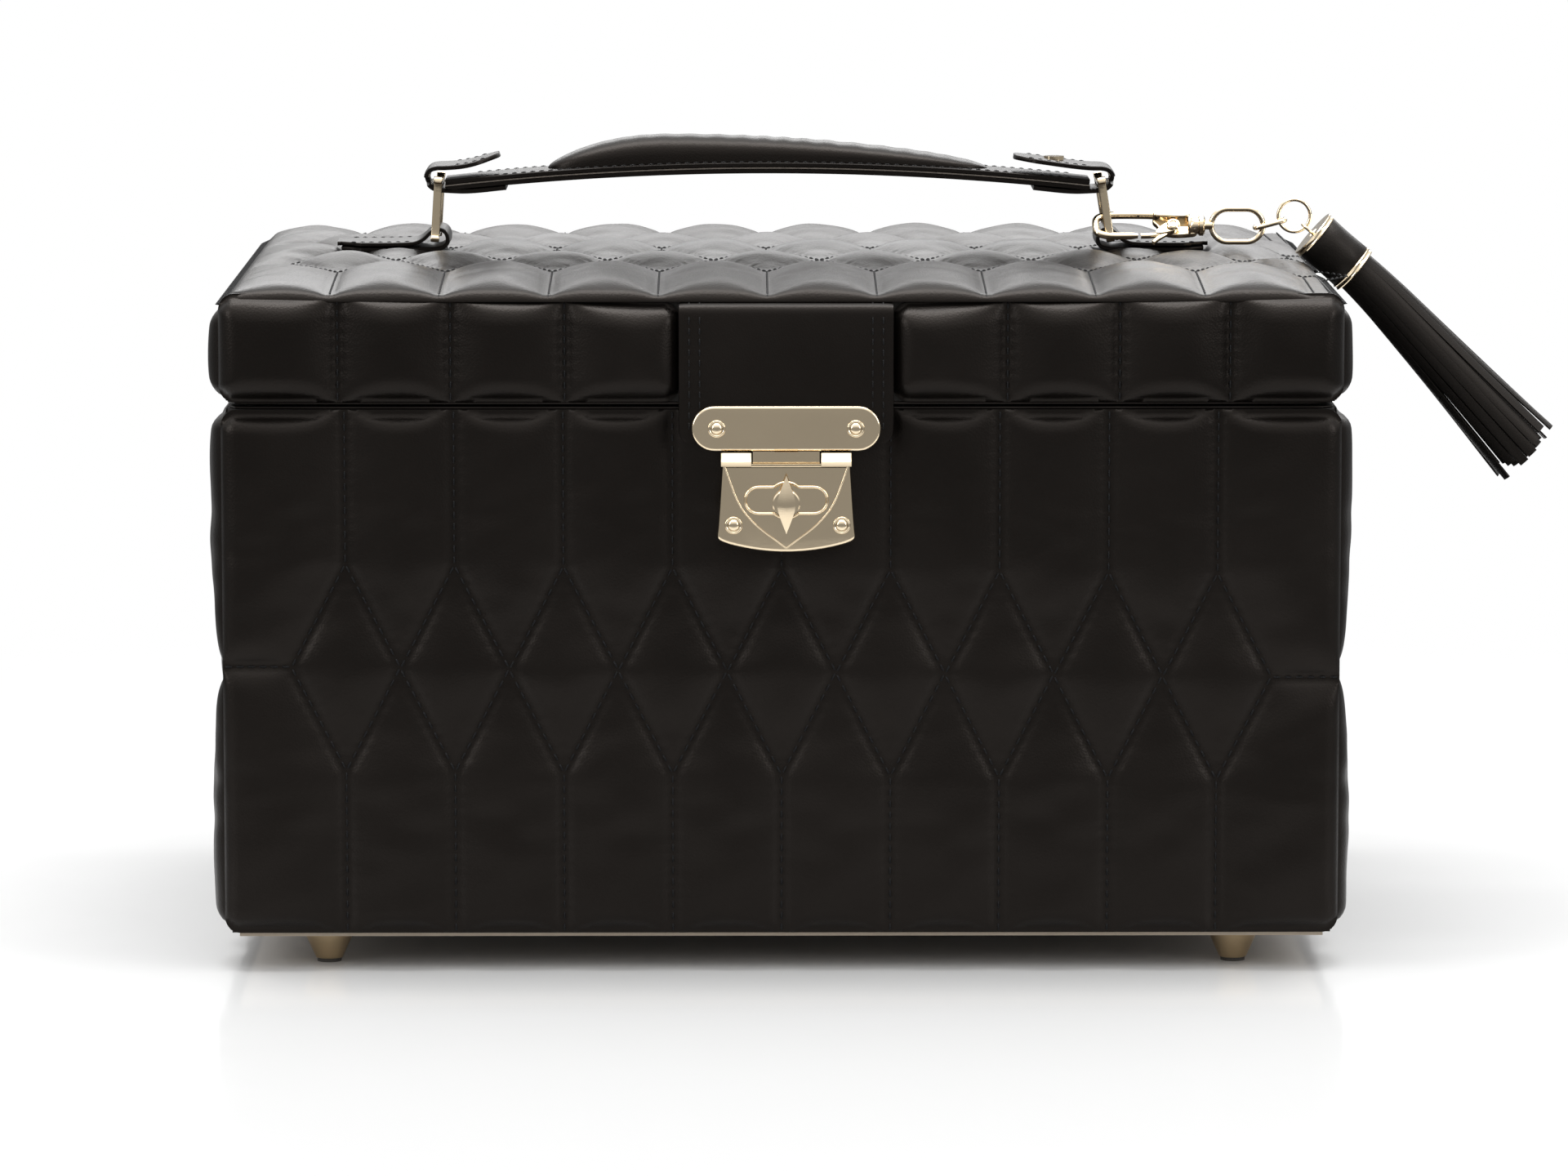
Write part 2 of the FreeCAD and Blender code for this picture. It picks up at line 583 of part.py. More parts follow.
boss_face = D.lock_face + D.boss
pawl_back = tongue_back - D.pawl_gap
pawl_front = pawl_back + D.pawl
knob_base = boss_face + D.knob_fit
wing_face = knob_base + D.knob_base
waist = D.knob_waist
half_wing = D.knob_half / 2
wing = prism("knob_wing", "XZ", wing_face, wing_face + D.knob_deep,
             [(D.latch_x, D.knob_z - D.knob_half), (D.latch_x + D.knob_half_wide, D.knob_z),
              (D.latch_x, D.knob_z + D.knob_half), (D.latch_x - D.knob_half_wide, D.knob_z)],
             {0: (D.latch_x + waist, D.knob_z - half_wing),
              1: (D.latch_x + waist, D.knob_z + half_wing),
              2: (D.latch_x - waist, D.knob_z + half_wing),
              3: (D.latch_x - waist, D.knob_z - half_wing)})
keep("lock_knob", join("lock_knob", [
    wing,
    cylinder("knob_base", (D.latch_x, -knob_base, D.knob_z), (0, -1, 0), D.knob_r, D.knob_base),
    cylinder("knob_shaft", (D.latch_x, -pawl_front, D.knob_z), (0, -1, 0), D.shaft_r,
             knob_base - pawl_front),
]))
keep("lock_pawl", box("lock_pawl", centred(D.latch_x, D.pawl_half), (-pawl_front, -pawl_back),
                      (D.knob_z - D.pawl_half, D.knob_z + D.pawl_reach)))

# ---- hinges ----

leaf_span = (front_face, front_face + D.leaf)
knuckle_share = D.hinge_half * 0.4


def leaf(label, middle, upper, places):
    """A hinge leaf with its knuckles; places are knuckle middles in knuckle widths."""
    near = D.hinge_z + D.leaf_near if upper else D.hinge_z - D.leaf_near
    far = D.hinge_z + D.leaf_far if upper else D.hinge_z - D.leaf_far
    plate_z = (near, far) if upper else (far, near)
    tab_z = (D.hinge_z, near) if upper else (near, D.hinge_z)
    pieces = [box(label + "_plate", centred(middle, D.hinge_half), leaf_span, plate_z)]
    for number, place in enumerate(places):
        span = centred(middle + knuckle_share * place, knuckle_share / 2 - D.knuckle_trim)
        pieces.append(box(f"{label}_tab_{number}", span, leaf_span, tab_z))
        pieces.append(cylinder(f"{label}_barrel_{number}", (span[0], D.hinge_y, D.hinge_z), (1, 0, 0),
                               D.barrel_r, span[1] - span[0]))
    whole = join(label + "_whole", pieces)
    bore = cylinder(label + "_bore", (middle - D.hinge_half - D.overshoot, D.hinge_y, D.hinge_z), (1, 0, 0),
                    D.pin_r + D.pin_fit, (D.hinge_half + D.overshoot) * 2)
    return cut(label, whole, bore)


def leaf_screws(label, middle, height):
    """Two round-headed screws through a leaf into the board."""
    pair = []
    for name, side in (("a", -D.screw_share), ("b", D.screw_share)):
        at_x = middle + D.hinge_half * side
        head = cylinder(f"{label}_{name}_head", (at_x, leaf_span[1], height), (0, 1, 0), D.screw_head_r,
                        D.screw_head)
        shank = cylinder(f"{label}_{name}_shank", (at_x, D.board_y - D.screw_bite, height), (0, 1, 0),
                         D.screw_r, D.front_pad + D.leaf + D.screw_bite + D.weld)
        pair.append(join(f"{label}_{name}", [head, shank]))
    return pair


base_leaves = []
lid_leaves = []
pins = []
lid_screws = []
for name, side in (("left", -1), ("right", 1)):
    middle = D.hinge_x * side
    base_leaves.append(leaf(f"base_leaf_{name}", middle, False, (-2, 0, 2)))
    lid_leaves.append(leaf(f"lid_leaf_{name}", middle, True, (-1, 1)))
    pins.append(cylinder(f"hinge_pin_{name}", (middle - D.hinge_half, D.hinge_y, D.hinge_z), (1, 0, 0),
                         D.pin_r, D.hinge_half * 2))
    screws += leaf_screws(f"base_leaf_screw_{name}", middle, D.hinge_z - D.leaf_far * D.screw_share)
    lid_screws += leaf_screws(f"lid_leaf_screw_{name}", middle, D.hinge_z + D.leaf_far * D.screw_share)
keep("hinge_base_leaves", group("hinge_base_leaves", base_leaves))
keep("hinge_lid_leaves", group("hinge_lid_leaves", lid_leaves))
keep("hinge_pins", group("hinge_pins", pins))
keep("base_screws", group("base_screws", screws))
keep("hinge_lid_screws", group("hinge_lid_screws", lid_screws))

# ---- chapes and rings ----

strap_y = both(D.strap_half_y)
for name, pivot, away in (("left", D.left_pivot_x, -1), ("right", D.right_pivot_x, 1)):
    tail = sorted([pivot, pivot + D.chape_long * away], key=lambda size: size.value)
    flat = box(f"chape_{name}_flat", tail, strap_y, (D.chape_z, D.chape_z + D.chape_leather * 2))
    tube = cylinder(f"chape_{name}_tube", (pivot, -D.strap_half_y, D.pivot_z), (0, 1, 0), D.chape_r,
                    D.strap_half_y * 2)
    eye = cylinder(f"chape_{name}_eye", (pivot, -D.strap_half_y - D.overshoot, D.pivot_z), (0, 1, 0),
                   D.chape_r - D.chape_leather, (D.strap_half_y + D.overshoot) * 2)
    keep(f"chape_{name}", cut(f"chape_{name}", join(f"chape_{name}_solid", [flat, tube]), eye))

for name, pivot, lean in (("left", D.left_pivot_x, D.left_lean), ("right", D.right_pivot_x, D.right_lean)):
    ring = doc.addObject("PartDesign::Body", f"ring_{name}")
    frame_sketch = sketch_in(ring, "YZ", -D.ring_band / 2)
    low = -D.ring_bar / 2
    high = low + D.ring_height
    inner = D.ring_half_y - D.ring_bar
    outline(frame_sketch, [(-D.ring_half_y, low), (D.ring_half_y, low), (D.ring_half_y, high),
                           (-D.ring_half_y, high)])
    pad(ring, frame_sketch, D.ring_band)
    gap_sketch = sketch_in(ring, "YZ", D.ring_band / 2)
    outline(gap_sketch, [(-inner, low + D.ring_bar), (inner, low + D.ring_bar), (inner, high - D.ring_bar),
                         (-inner, high - D.ring_bar)])
    pocket(ring, gap_sketch, D.ring_band)
    ring.Placement = Placement(Vector(pivot.value, 0, D.pivot_z.value),
                               Rotation(Vector(0, 1, 0), lean.value))
    keep(f"ring_{name}", ring)

# ---- handle ----

ring_reach = D.ring_height - D.ring_bar


def ring_top(pivot, lean):
    """The middle of a ring's upper bar."""
    turn = math.radians(lean.value)
    return pivot + ring_reach * math.sin(turn), D.pivot_z + ring_reach * math.cos(turn)


left_top_x, left_top_z = ring_top(D.left_pivot_x, D.left_lean)
right_top_x, right_top_z = ring_top(D.right_pivot_x, D.right_lean)
strap_left = left_top_x + D.loop_r
strap_right = right_top_x - D.loop_r
arch_half = (strap_right - strap_left) / 2
arch_rise = D.arch_crest - D.arch_low
arch_r = (arch_half * arch_half + arch_rise * arch_rise) / (arch_rise * 2)
arch_mid = (strap_left + strap_right) / 2


def arch(x, lift):
    """Height of the strap's arch at x, lifted along its radius."""
    radius = arch_r.value + lift.value
    run = Size.of(x).value - arch_mid.value
    return Size(D.arch_crest.value - arch_r.value + math.sqrt(radius * radius - run * run))


thick = D.handle_strap
none = Size(0)
keep("handle_strap", prism(
    "handle_strap", "XZ", *strap_y,
    [(strap_left, arch(strap_left, none)), (strap_right, arch(strap_right, none)),
     (strap_right, arch(strap_right, thick)), (strap_left, arch(strap_left, thick))],
    {0: (arch_mid, arch(arch_mid, none)), 2: (arch_mid, arch(arch_mid, thick))}))

seat = thick + D.grip_seat


def swell(end_x, end_z):
    """The middle of an arc from the grip's crest, where it is level, down to its end."""
    run = end_x - D.grip_crest_x
    fall = D.grip_crest - end_z
    radius = (run * run + fall * fall) / (fall * 2)
    return D.grip_crest_x + run / 2, D.grip_crest - run * run / (radius * 8)


keep("handle_grip", prism(
    "handle_grip", "XZ", *both(D.grip_half_y),
    [(D.grip_left, arch(D.grip_left, seat)), (D.grip_right, arch(D.grip_right, seat)),
     (D.grip_right, D.grip_right_top), (D.grip_crest_x, D.grip_crest),
     (D.grip_left, D.grip_left_top)],
    {0: (arch_mid, arch(arch_mid, seat)), 2: swell(D.grip_right, D.grip_right_top),
     3: swell(D.grip_left, D.grip_left_top)}))

loops = []
for name, middle_x, middle_z, tip_x, tip_z in (
    ("left", left_top_x, left_top_z, D.left_tip_x, D.left_tip_z),
    ("right", right_top_x, right_top_z, D.right_tip_x, D.right_tip_z),
):
    tube = cylinder(f"loop_{name}_tube", (middle_x, -D.strap_half_y, middle_z), (0, 1, 0), D.loop_r,
                    D.strap_half_y * 2)
    eye = cylinder(f"loop_{name}_eye", (middle_x, -D.strap_half_y - D.overshoot, middle_z), (0, 1, 0),
                   D.loop_r - D.loop_leather, (D.strap_half_y + D.overshoot) * 2)
    top_z = middle_z + D.loop_r
    flap_low = tip_z - D.loop_leather
    flap = prism(f"loop_{name}_flap", "XZ", *strap_y,
                 [(middle_x, top_z), (tip_x, tip_z), (tip_x, flap_low), (middle_x, top_z - D.loop_leather)])
    loops.append(cut(f"loop_{name}", join(f"loop_{name}_solid", [tube, flap]), eye))
keep("handle_loops", group("handle_loops", loops))
flap_start = right_top_z + D.loop_r
flap_rise = (D.right_tip_z - flap_start) * (right_top_x - D.stud_x) / (right_top_x - D.right_tip_x)
keep("handle_stud", cylinder("handle_stud", (D.stud_x, Size(0), flap_start + flap_rise - D.stud_sink),
                             (0, 0, 1), D.stud_r, D.stud))

# ---- clasp, in its own frame: u along +X, v up its tilted plane, w out of that plane ----

clasp_place = Placement(Vector(0, D.charm_y.value, D.charm_z.value),
                        Rotation(Vector(1, 0, 0), D.clasp_tilt.value))
hook_side = -(D.hook_half.value - D.hook_wire_r.value)
hook = stadium_ring(D.hook_left.value, D.hook_right.value, D.hook_half.value, D.hook_wire_r.value)
mouth_left = D.gate_tip.value - D.gate_gap.value
mouth_deep = D.clasp_cut.value
mouth_foot = hook_side - mouth_deep / 2
mouth_high = D.spine_low_v.value - D.weld.value - mouth_foot
mouth = Part.makeBox(D.mouth_long.value, mouth_high, mouth_deep,
                     Vector(mouth_left, mouth_foot, -mouth_deep / 2))
cheek_left = D.cheek_left.value
cheek_low_w = D.cheek_low_w.value
cheek = Part.makeBox(D.cheek_right.value - cheek_left, D.cheek_half_v.value * 2, D.cheek.value,
                     Vector(cheek_left, D.cheek_mid_v.value - D.cheek_half_v.value, cheek_low_w))
spine = Part.makeBox(D.spine_right.value - cheek_left, D.spine_high.value, D.spine.value,
                     Vector(cheek_left, D.spine_low_v.value, cheek_low_w))
collar_mid = D.collar_left.value
collar_long = D.collar_right.value - D.collar_left.value
head_r = D.pin_head_r.value
collar = Part.makeCylinder(D.collar_r.value, collar_long, Vector(collar_mid, 0, 0), Vector(1, 0, 0))
chamber = Part.makeCylinder(head_r + D.head_fit.value, D.chamber_long.value,
                            Vector(collar_mid + D.chamber_start.value, 0, 0), Vector(1, 0, 0))
throat = Part.makeCylinder(D.stem_r.value + D.stem_fit.value, collar_long,
                           Vector(collar_mid + D.throat_start.value, 0, 0), Vector(1, 0, 0))
pivot_u = D.gate_pivot_x.value
pivot_v = D.gate_pivot_v.value
pin_long = D.pin_long.value
pin_top = pin_long / 2
gate_pin = Part.makeCylinder(D.gate_pin_r.value, pin_long, Vector(pivot_u, pivot_v, -pin_top))
pin_head = Part.makeCylinder(head_r, D.pin_head.value, Vector(pivot_u, pivot_v, pin_top - D.weld.value))
clasp_solid = hook.cut(mouth)
for piece in (cheek, spine, collar, gate_pin, pin_head):
    clasp_solid = clasp_solid.fuse(piece)
for hollow in (chamber, throat):
    clasp_solid = clasp_solid.cut(hollow)
clasp_solid = clasp_solid.removeSplitter()
keep("clasp_body", feature("clasp_body", clasp_solid, clasp_place))

# The gate is a wire across the hook's mouth with a flat web that turns on the pin.
gate_wire = Part.makeCylinder(D.gate_r.value, D.gate_long.value,
                              Vector(D.gate_tip.value, hook_side, 0), Vector(1, 0, 0))
web_left = D.gate_tip.value + D.web_start.value
web_half = D.web_half.value
web_top = pivot_v + D.web_above.value
web_edge = D.web_edge.value
web_outline = [(web_left, hook_side - web_edge), (pivot_u + web_half, hook_side + D.web_lift.value),
               (pivot_u + web_half, web_top), (pivot_u - web_half, web_top),
               (web_left, hook_side + web_edge), (web_left, hook_side - web_edge)]
web_face = Part.Face(Part.makePolygon([Vector(u, v, D.gate_low_w.value) for u, v in web_outline]))
gate_web = web_face.extrude(Vector(0, 0, D.gate_web.value))
gate_hole = Part.makeCylinder(D.gate_pin_r.value + D.pin_fit_r.value, mouth_deep,
                              Vector(pivot_u, pivot_v, -mouth_deep / 2))
gate_solid = gate_wire.fuse(gate_web).cut(gate_hole).removeSplitter()
keep("clasp_gate", feature("clasp_gate", gate_solid, clasp_place))

# ---- swivel eye, link, ring ----

eye_place = Placement(Vector(0, D.charm_y.value, D.charm_z.value), Rotation(Vector(1, 0, 0), 90))
eye_ring = stadium_ring(D.eye_left.value, D.eye_right.value, D.eye_half.value, D.eye_wire_r.value)
stem_left = collar_mid + D.stem_start.value
eye_stem = Part.makeCylinder(D.stem_r.value, D.eye_left.value + D.overshoot.value - stem_left,
                             Vector(stem_left, 0, 0), Vector(1, 0, 0))
eye_head = Part.makeCylinder(head_r, D.head_long.value, Vector(collar_mid + D.head_start.value, 0, 0),
                             Vector(1, 0, 0))
eye_solid = eye_ring.fuse([eye_stem, eye_head]).removeSplitter()
keep("swivel_eye", feature("swivel_eye", eye_solid, eye_place))


def along(point, degrees, distance):
    """The point reached from (x, z) at an angle above +X."""
    turn = math.radians(degrees)
    return point[0] + distance * math.cos(turn), point[1] + distance * math.sin(turn)


eye_pull = (D.eye_right.value - D.eye_wire_r.value, D.charm_z.value)
link_hold = D.link_half.value - 2 * D.link_wire_r.value
link_mid = along(eye_pull, D.link_rise.value, link_hold - D.link_play.value - D.eye_wire_r.value)
link_solid = stadium_ring(-D.link_half.value, D.link_half.value, D.link_half_y.value, D.link_wire_r.value)
keep("charm_link", feature("charm_link", link_solid,
                           Placement(Vector(link_mid[0], D.charm_y.value, link_mid[1]),
                                     Rotation(Vector(0, 1, 0), -D.link_rise.value))))

ring_pull = along(link_mid, D.link_rise.value, link_hold - D.ring_play.value - D.ring_wire_r.value)
ring_mid = along(ring_pull, D.ring_rise.value, D.ring_r.value)
charm_ring = doc.addObject("Part::Torus", "charm_ring")
bind(charm_ring, "Radius1", D.ring_r)
bind(charm_ring, "Radius2", D.ring_wire_r)
charm_ring.Placement = Placement(Vector(ring_mid[0], D.charm_y.value, ring_mid[1]),
                                 Rotation(Vector(1, 0, 0), 90))
keep("charm_ring", charm_ring)

# ---- tassel, each part in a frame whose z runs down the tassel ----


def tassel_frame(point, drop):
    """A frame at (x, z) whose own z axis points along +X turned down by the drop."""
    return Placement(Vector(point[0], D.charm_y.value, point[1]), Rotation(Vector(0, 1, 0), 90 + drop))


drop = D.tassel_drop.value
tassel_pull = along(ring_mid, -D.charm_hang.value, D.ring_r.value)
cap_top = D.cap_start.value
cap_end = cap_top + D.cap_long.value
cap_frame = tassel_frame(tassel_pull, drop)
band = D.cap_collar.value
cap_body = Part.makeCylinder(D.cap_r.value, D.cap_long.value - 2 * band, Vector(0, 0, cap_top + band))
keep("tassel_cap", feature("tassel_cap", cap_body, cap_frame))

bail = Part.makeTorus(D.bail_r.value, D.bail_wire_r.value, Vector(0, 0, D.bail_mid.value), Vector(1, 0, 0))
collar_outer_r = D.cap_r.value + D.collar_out.value
top_collar = Part.makeCylinder(collar_outer_r, band, Vector(0, 0, cap_top)).fuse(bail)
low_collar = Part.makeCylinder(collar_outer_r, band, Vector(0, 0, cap_end - band))
keep("tassel_collars", feature("tassel_collars", Part.makeCompound([top_collar, low_collar]), cap_frame))

skirt_start = along(tassel_pull, -drop, cap_end + D.skirt_start.value)
skirt = Part.makeCone(D.skirt_top_r.value, D.skirt_low_r.value, D.skirt_long.value)
keep("tassel_skirt", feature("tassel_skirt", skirt, tassel_frame(skirt_start, D.skirt_drop.value)))

# ---- checks and export ----

doc.recompute()
faults = [
    f"{item.Label}: {state}"
    for item in doc.Objects
    for state in item.State
    if state in ("Invalid", "Error")
]
for label, item in nodes.items():
    if item.Shape.isNull() or not item.Shape.isValid() or not item.Shape.Solids:
        faults.append(f"{label}: bad shape")
if faults:
    raise RuntimeError("; ".join(faults))

print("link pivot", [round(number, 3) for number in eye_pull])
print("ring pivot", [round(number, 3) for number in ring_pull])
print("ring middle", [round(number, 3) for number in ring_mid])
print("tassel pivot", [round(number, 3) for number in tassel_pull])
print("ring tops", round(left_top_x.value, 3), round(left_top_z.value, 3), round(right_top_x.value, 3),
      round(right_top_z.value, 3))
os.makedirs("parts", exist_ok=True)
for label, item in nodes.items():
    item.Shape.exportStep(f"parts/{label}.step")
print(len(nodes), "sub-parts,", round(sum(item.Shape.Volume for item in nodes.values()) / 1000), "cm3")
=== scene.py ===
# %% [markdown]
# # A quilted leather jewellery case
# The case is a stiff box covered with padded black leather. It has a hinged lid, a pale gold turn
# lock, a carrying handle on two metal rings, and a leather tassel on a snap clasp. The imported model
# gives every size and place. Here each visible surface gets its real shape and finish.

# %% Load the frame
import json
import math
import bmesh
import bpy
import numpy as np
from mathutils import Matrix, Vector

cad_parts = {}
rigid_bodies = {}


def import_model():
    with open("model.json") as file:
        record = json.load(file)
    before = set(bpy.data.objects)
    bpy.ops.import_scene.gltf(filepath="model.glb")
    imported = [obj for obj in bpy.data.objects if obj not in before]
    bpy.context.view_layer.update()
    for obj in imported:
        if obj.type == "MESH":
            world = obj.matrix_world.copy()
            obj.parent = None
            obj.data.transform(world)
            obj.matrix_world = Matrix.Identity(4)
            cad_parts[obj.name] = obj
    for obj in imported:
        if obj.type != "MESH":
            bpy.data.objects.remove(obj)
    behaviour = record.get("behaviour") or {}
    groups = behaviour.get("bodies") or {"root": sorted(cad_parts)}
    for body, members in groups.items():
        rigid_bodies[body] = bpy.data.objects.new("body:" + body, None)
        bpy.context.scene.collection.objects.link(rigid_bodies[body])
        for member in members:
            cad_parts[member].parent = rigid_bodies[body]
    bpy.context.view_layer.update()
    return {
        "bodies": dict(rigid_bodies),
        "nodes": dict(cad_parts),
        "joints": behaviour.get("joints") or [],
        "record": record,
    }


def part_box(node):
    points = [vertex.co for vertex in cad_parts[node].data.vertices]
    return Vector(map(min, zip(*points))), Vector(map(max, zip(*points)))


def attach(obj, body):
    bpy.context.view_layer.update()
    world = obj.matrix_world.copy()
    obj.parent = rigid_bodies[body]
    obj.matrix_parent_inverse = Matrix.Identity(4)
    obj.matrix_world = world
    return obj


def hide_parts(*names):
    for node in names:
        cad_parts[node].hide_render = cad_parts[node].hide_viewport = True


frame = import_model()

MM = 0.001

# %% [markdown]
# ## Camera, floor and light
# A long lens a little above the case keeps its sides nearly parallel. The floor is pale and slightly
# glossy. Broad lights above and behind give the leather its soft bands, and the front stays darker,
# so that black still reads as black.

# %% Camera
camera_data = bpy.data.cameras.new("camera")
camera_data.lens = 174
camera_data.sensor_width = 36
camera = bpy.data.objects.new("camera", camera_data)
bpy.context.scene.collection.objects.link(camera)
camera.location = (-0.013, -2.261, 0.3849)
camera_pitch = math.radians(90 - 7.26)
camera_yaw = math.radians(-0.365)
camera.rotation_euler = (camera_pitch, 0, camera_yaw)
bpy.context.scene.camera = camera

# %% Lights
def soft_light(name, place, aim, size, watts):
    """A rectangular light at a place in metres that faces the aim."""
    data = bpy.data.lights.new(name, "AREA")
    data.shape = "RECTANGLE"
    data.size, data.size_y = size
    data.energy = watts
    light = bpy.data.objects.new(name, data)
    bpy.context.scene.collection.objects.link(light)
    place = np.array(place, float)
    away = place - np.array(aim, float)
    turn = math.atan2(away[0], -away[1])
    rise = math.atan2(math.hypot(away[0], away[1]), away[2])
    light.location = place
    light.rotation_euler = (rise, 0, turn)


case_middle = (0, 0, 0.11)
soft_light("light_above", (0, 0.0, 1.5), case_middle, (1.5, 0.7), 26)
soft_light("light_behind", (0.4, 2.0, 1.0), case_middle, (2.2, 0.7), 16)
soft_light("light_left", (-1.5, -0.9, 0.8), case_middle, (0.35, 1.0), 9)
soft_light("light_right", (1.5, -1.0, 0.8), case_middle, (0.35, 1.0), 9)

sun_data = bpy.data.lights.new("overhead_glow", "SUN")
sun_data.energy = 1.6
sun_data.angle = math.radians(80)
sun = bpy.data.objects.new("overhead_glow", sun_data)
bpy.context.scene.collection.objects.link(sun)

# %% World
world = bpy.data.worlds.new("studio")
world.use_nodes = True
bpy.context.scene.world = world
bpy.context.scene.view_settings.view_transform = "Standard"

# The room is bright above and dim below the horizon, so upright leather stays black and the lid's top
# takes a sheen. What the lens sees directly is plain white paper.
room = world.node_tree
direction = room.nodes.new("ShaderNodeTexCoord")
parts = room.nodes.new("ShaderNodeSeparateXYZ")
glow = room.nodes.new("ShaderNodeMapRange")
glow.interpolation_type = "SMOOTHSTEP"
for socket, value in (("From Min", 0.0), ("From Max", 0.55), ("To Min", 0.36), ("To Max", 1.3)):
    glow.inputs[socket].default_value = value
seen = room.nodes.new("ShaderNodeLightPath")
choice = room.nodes.new("ShaderNodeMix")
choice.inputs["B"].default_value = 1.0
room.links.new(direction.outputs["Generated"], parts.inputs[0])
room.links.new(parts.outputs["Z"], glow.inputs["Value"])
room.links.new(seen.outputs["Is Camera Ray"], choice.inputs["Factor"])
room.links.new(glow.outputs["Result"], choice.inputs["A"])
room.links.new(choice.outputs["Result"], room.nodes["Background"].inputs["Strength"])
room.nodes["Background"].inputs["Color"].default_value = (1, 1, 1, 1)

# %% [markdown]
# ## Shader sums in Python
# A surface pattern is easier to read as a sum than as a web of nodes. `Wire` holds a socket, and
# adding or multiplying wires adds the Math nodes. `Finish` holds a material and makes any other node.

# %% Wires and finishes
class Wire:
    """A node's output that can be used in Python sums."""

    def __init__(self, finish, socket):
        self.finish = finish
        self.socket = socket

    def maths(self, operation, first, second):
        return self.finish.node("ShaderNodeMath", {"operation": operation}, {0: first, 1: second})

    def __add__(self, other):
        return self.maths("ADD", self, other)

    def __rsub__(self, other):
        return self.maths("SUBTRACT", other, self)

    def __mul__(self, other):
        return self.maths("MULTIPLY", self, other)

    __radd__ = __add__
    __rmul__ = __mul__


class Finish:
    """A material under construction, with its Principled shader."""

    def __init__(self, name, colour, **settings):
        self.material = bpy.data.materials.new(name)
        self.material.use_nodes = True
        self.tree = self.material.node_tree
        self.shader = self.tree.nodes["Principled BSDF"]
        self.set(Base_Color=(*colour, 1), **settings)
        self.material.diffuse_color = (*colour, 1)
        self.place = self.node("ShaderNodeTexCoord", {}, {}, "Object")

    def connect(self, socket, value):
        if isinstance(value, Wire):
            self.tree.links.new(value.socket, socket)
        else:
            socket.default_value = value

    def set(self, **values):
        """Sets sockets of the shader: an underscore in a name stands for a space."""
        for name, value in values.items():
            self.connect(self.shader.inputs[name.replace("_", " ")], value)

    def node(self, kind, settings, values, output=0):
        """Adds a node: its settings first, then the values or wires of its sockets."""
        node = self.tree.nodes.new(kind)
        for name, value in settings.items():
            if name == "stops":
                ramp = node.color_ramp.elements
                for element, (place, level) in zip(ramp, value):
                    element.position = place
                    element.color = (level, level, level, 1)
            else:
                setattr(node, name, value)
        for socket, value in values.items():
            self.connect(node.inputs[socket], value)
        return Wire(self, node.outputs[output])

    def noise(self, scale, detail=3, roughness=0.55):
        return self.node("ShaderNodeTexNoise", {}, {"Vector": self.place, "Scale": scale,
                                                    "Detail": detail, "Roughness": roughness})

    def cells(self, scale, feature="F1", output="Distance"):
        return self.node("ShaderNodeTexVoronoi", {"feature": feature},
                         {"Vector": self.place, "Scale": scale}, output)

    def ramp(self, wire, *stops):
        """A wire's values spread between two stops, each a place and a level."""
        return self.node("ShaderNodeValToRGB", {"stops": stops}, {"Fac": wire})

    def mix(self, factor, first, second):
        return self.node("ShaderNodeMix", {"data_type": "RGBA"},
                         {0: factor, 6: (*first, 1), 7: (*second, 1)}, 2)

    def bump(self, height, distance, strength=1.0):
        self.set(Normal=self.node("ShaderNodeBump", {}, {"Height": height, "Distance": distance,
                                                         "Strength": strength}))

    def done(self):
        return self.material


# %% [markdown]
# ## Leather
# Calf leather has a fine pebbled grain, about half a millimetre across, under a thin polish. Voronoi
# cells give the pebbles and a fine noise the pores. The polish is uneven, so the roughness drifts.

# %% Leather finishes
def leather(name, colour, rough, grain=1500, depth=0.00004, shine=0.05):
    """Pebbled grain: the height is cell distance plus fine pores, and the roughness follows slow noise."""
    finish = Finish(name, colour, IOR=1.45, Coat_Roughness=0.25, Specular_IOR_Level=0.17,
                    Specular_Tint=(1, 0.86, 0.76, 1))
    worn = finish.noise(22, 4)
    fine = finish.noise(3200, 2)
    pebble = finish.cells(grain)
    finish.set(Roughness=rough + worn * 0.16 + pebble * 0.05, Coat_Weight=shine * (1 - worn * 0.6))
    paler = [level * 1.6 + 0.001 for level in colour]
    finish.set(Base_Color=finish.mix(finish.ramp(worn, (0.4, 0), (0.75, 0.6)), colour, paler))
    finish.bump(pebble + fine * 0.4 + worn * 0.5, depth)
    return finish.done()


panel_leather = leather("panel leather", (0.0026, 0.0021, 0.0018), 0.27)
strap_leather = leather("strap leather", (0.0026, 0.0021, 0.0018), 0.27, 1900, 0.00003)
tassel_leather = leather("tassel leather", (0.0045, 0.004, 0.0036), 0.38, 1700, 0.00003, 0.04)


def edge_paint():
    """Cut edges of two layers: dark paint with a paler line where the layers meet."""
    finish = Finish("painted edge", (0.05, 0.045, 0.04), Roughness=0.5)
    grain = finish.noise(900, 2)
    finish.set(Base_Color=finish.mix(grain, (0.035, 0.03, 0.027), (0.16, 0.135, 0.11)))
    finish.bump(grain, 0.00004)
    return finish.done()


def thread():
    """Waxed black thread with a diagonal twist."""
    finish = Finish("waxed thread", (0.003, 0.003, 0.0034), Specular_IOR_Level=0.2)
    twist = finish.node("ShaderNodeTexWave", {"bands_direction": "DIAGONAL"},
                        {"Vector": finish.place, "Scale": 900.0, "Distortion": 1.5})
    finish.set(Roughness=0.45 + twist * 0.2)
    finish.bump(twist, 0.00006)
    return finish.done()


painted_edge = edge_paint()
waxed_thread = thread()

# %% [markdown]
# ## Metal
# The fittings are zinc with a thin pale gold plating, polished on the plates and rings and satin on
# the feet. Polished plating is never perfect: fine wipe marks and a slow drift in the polish show.

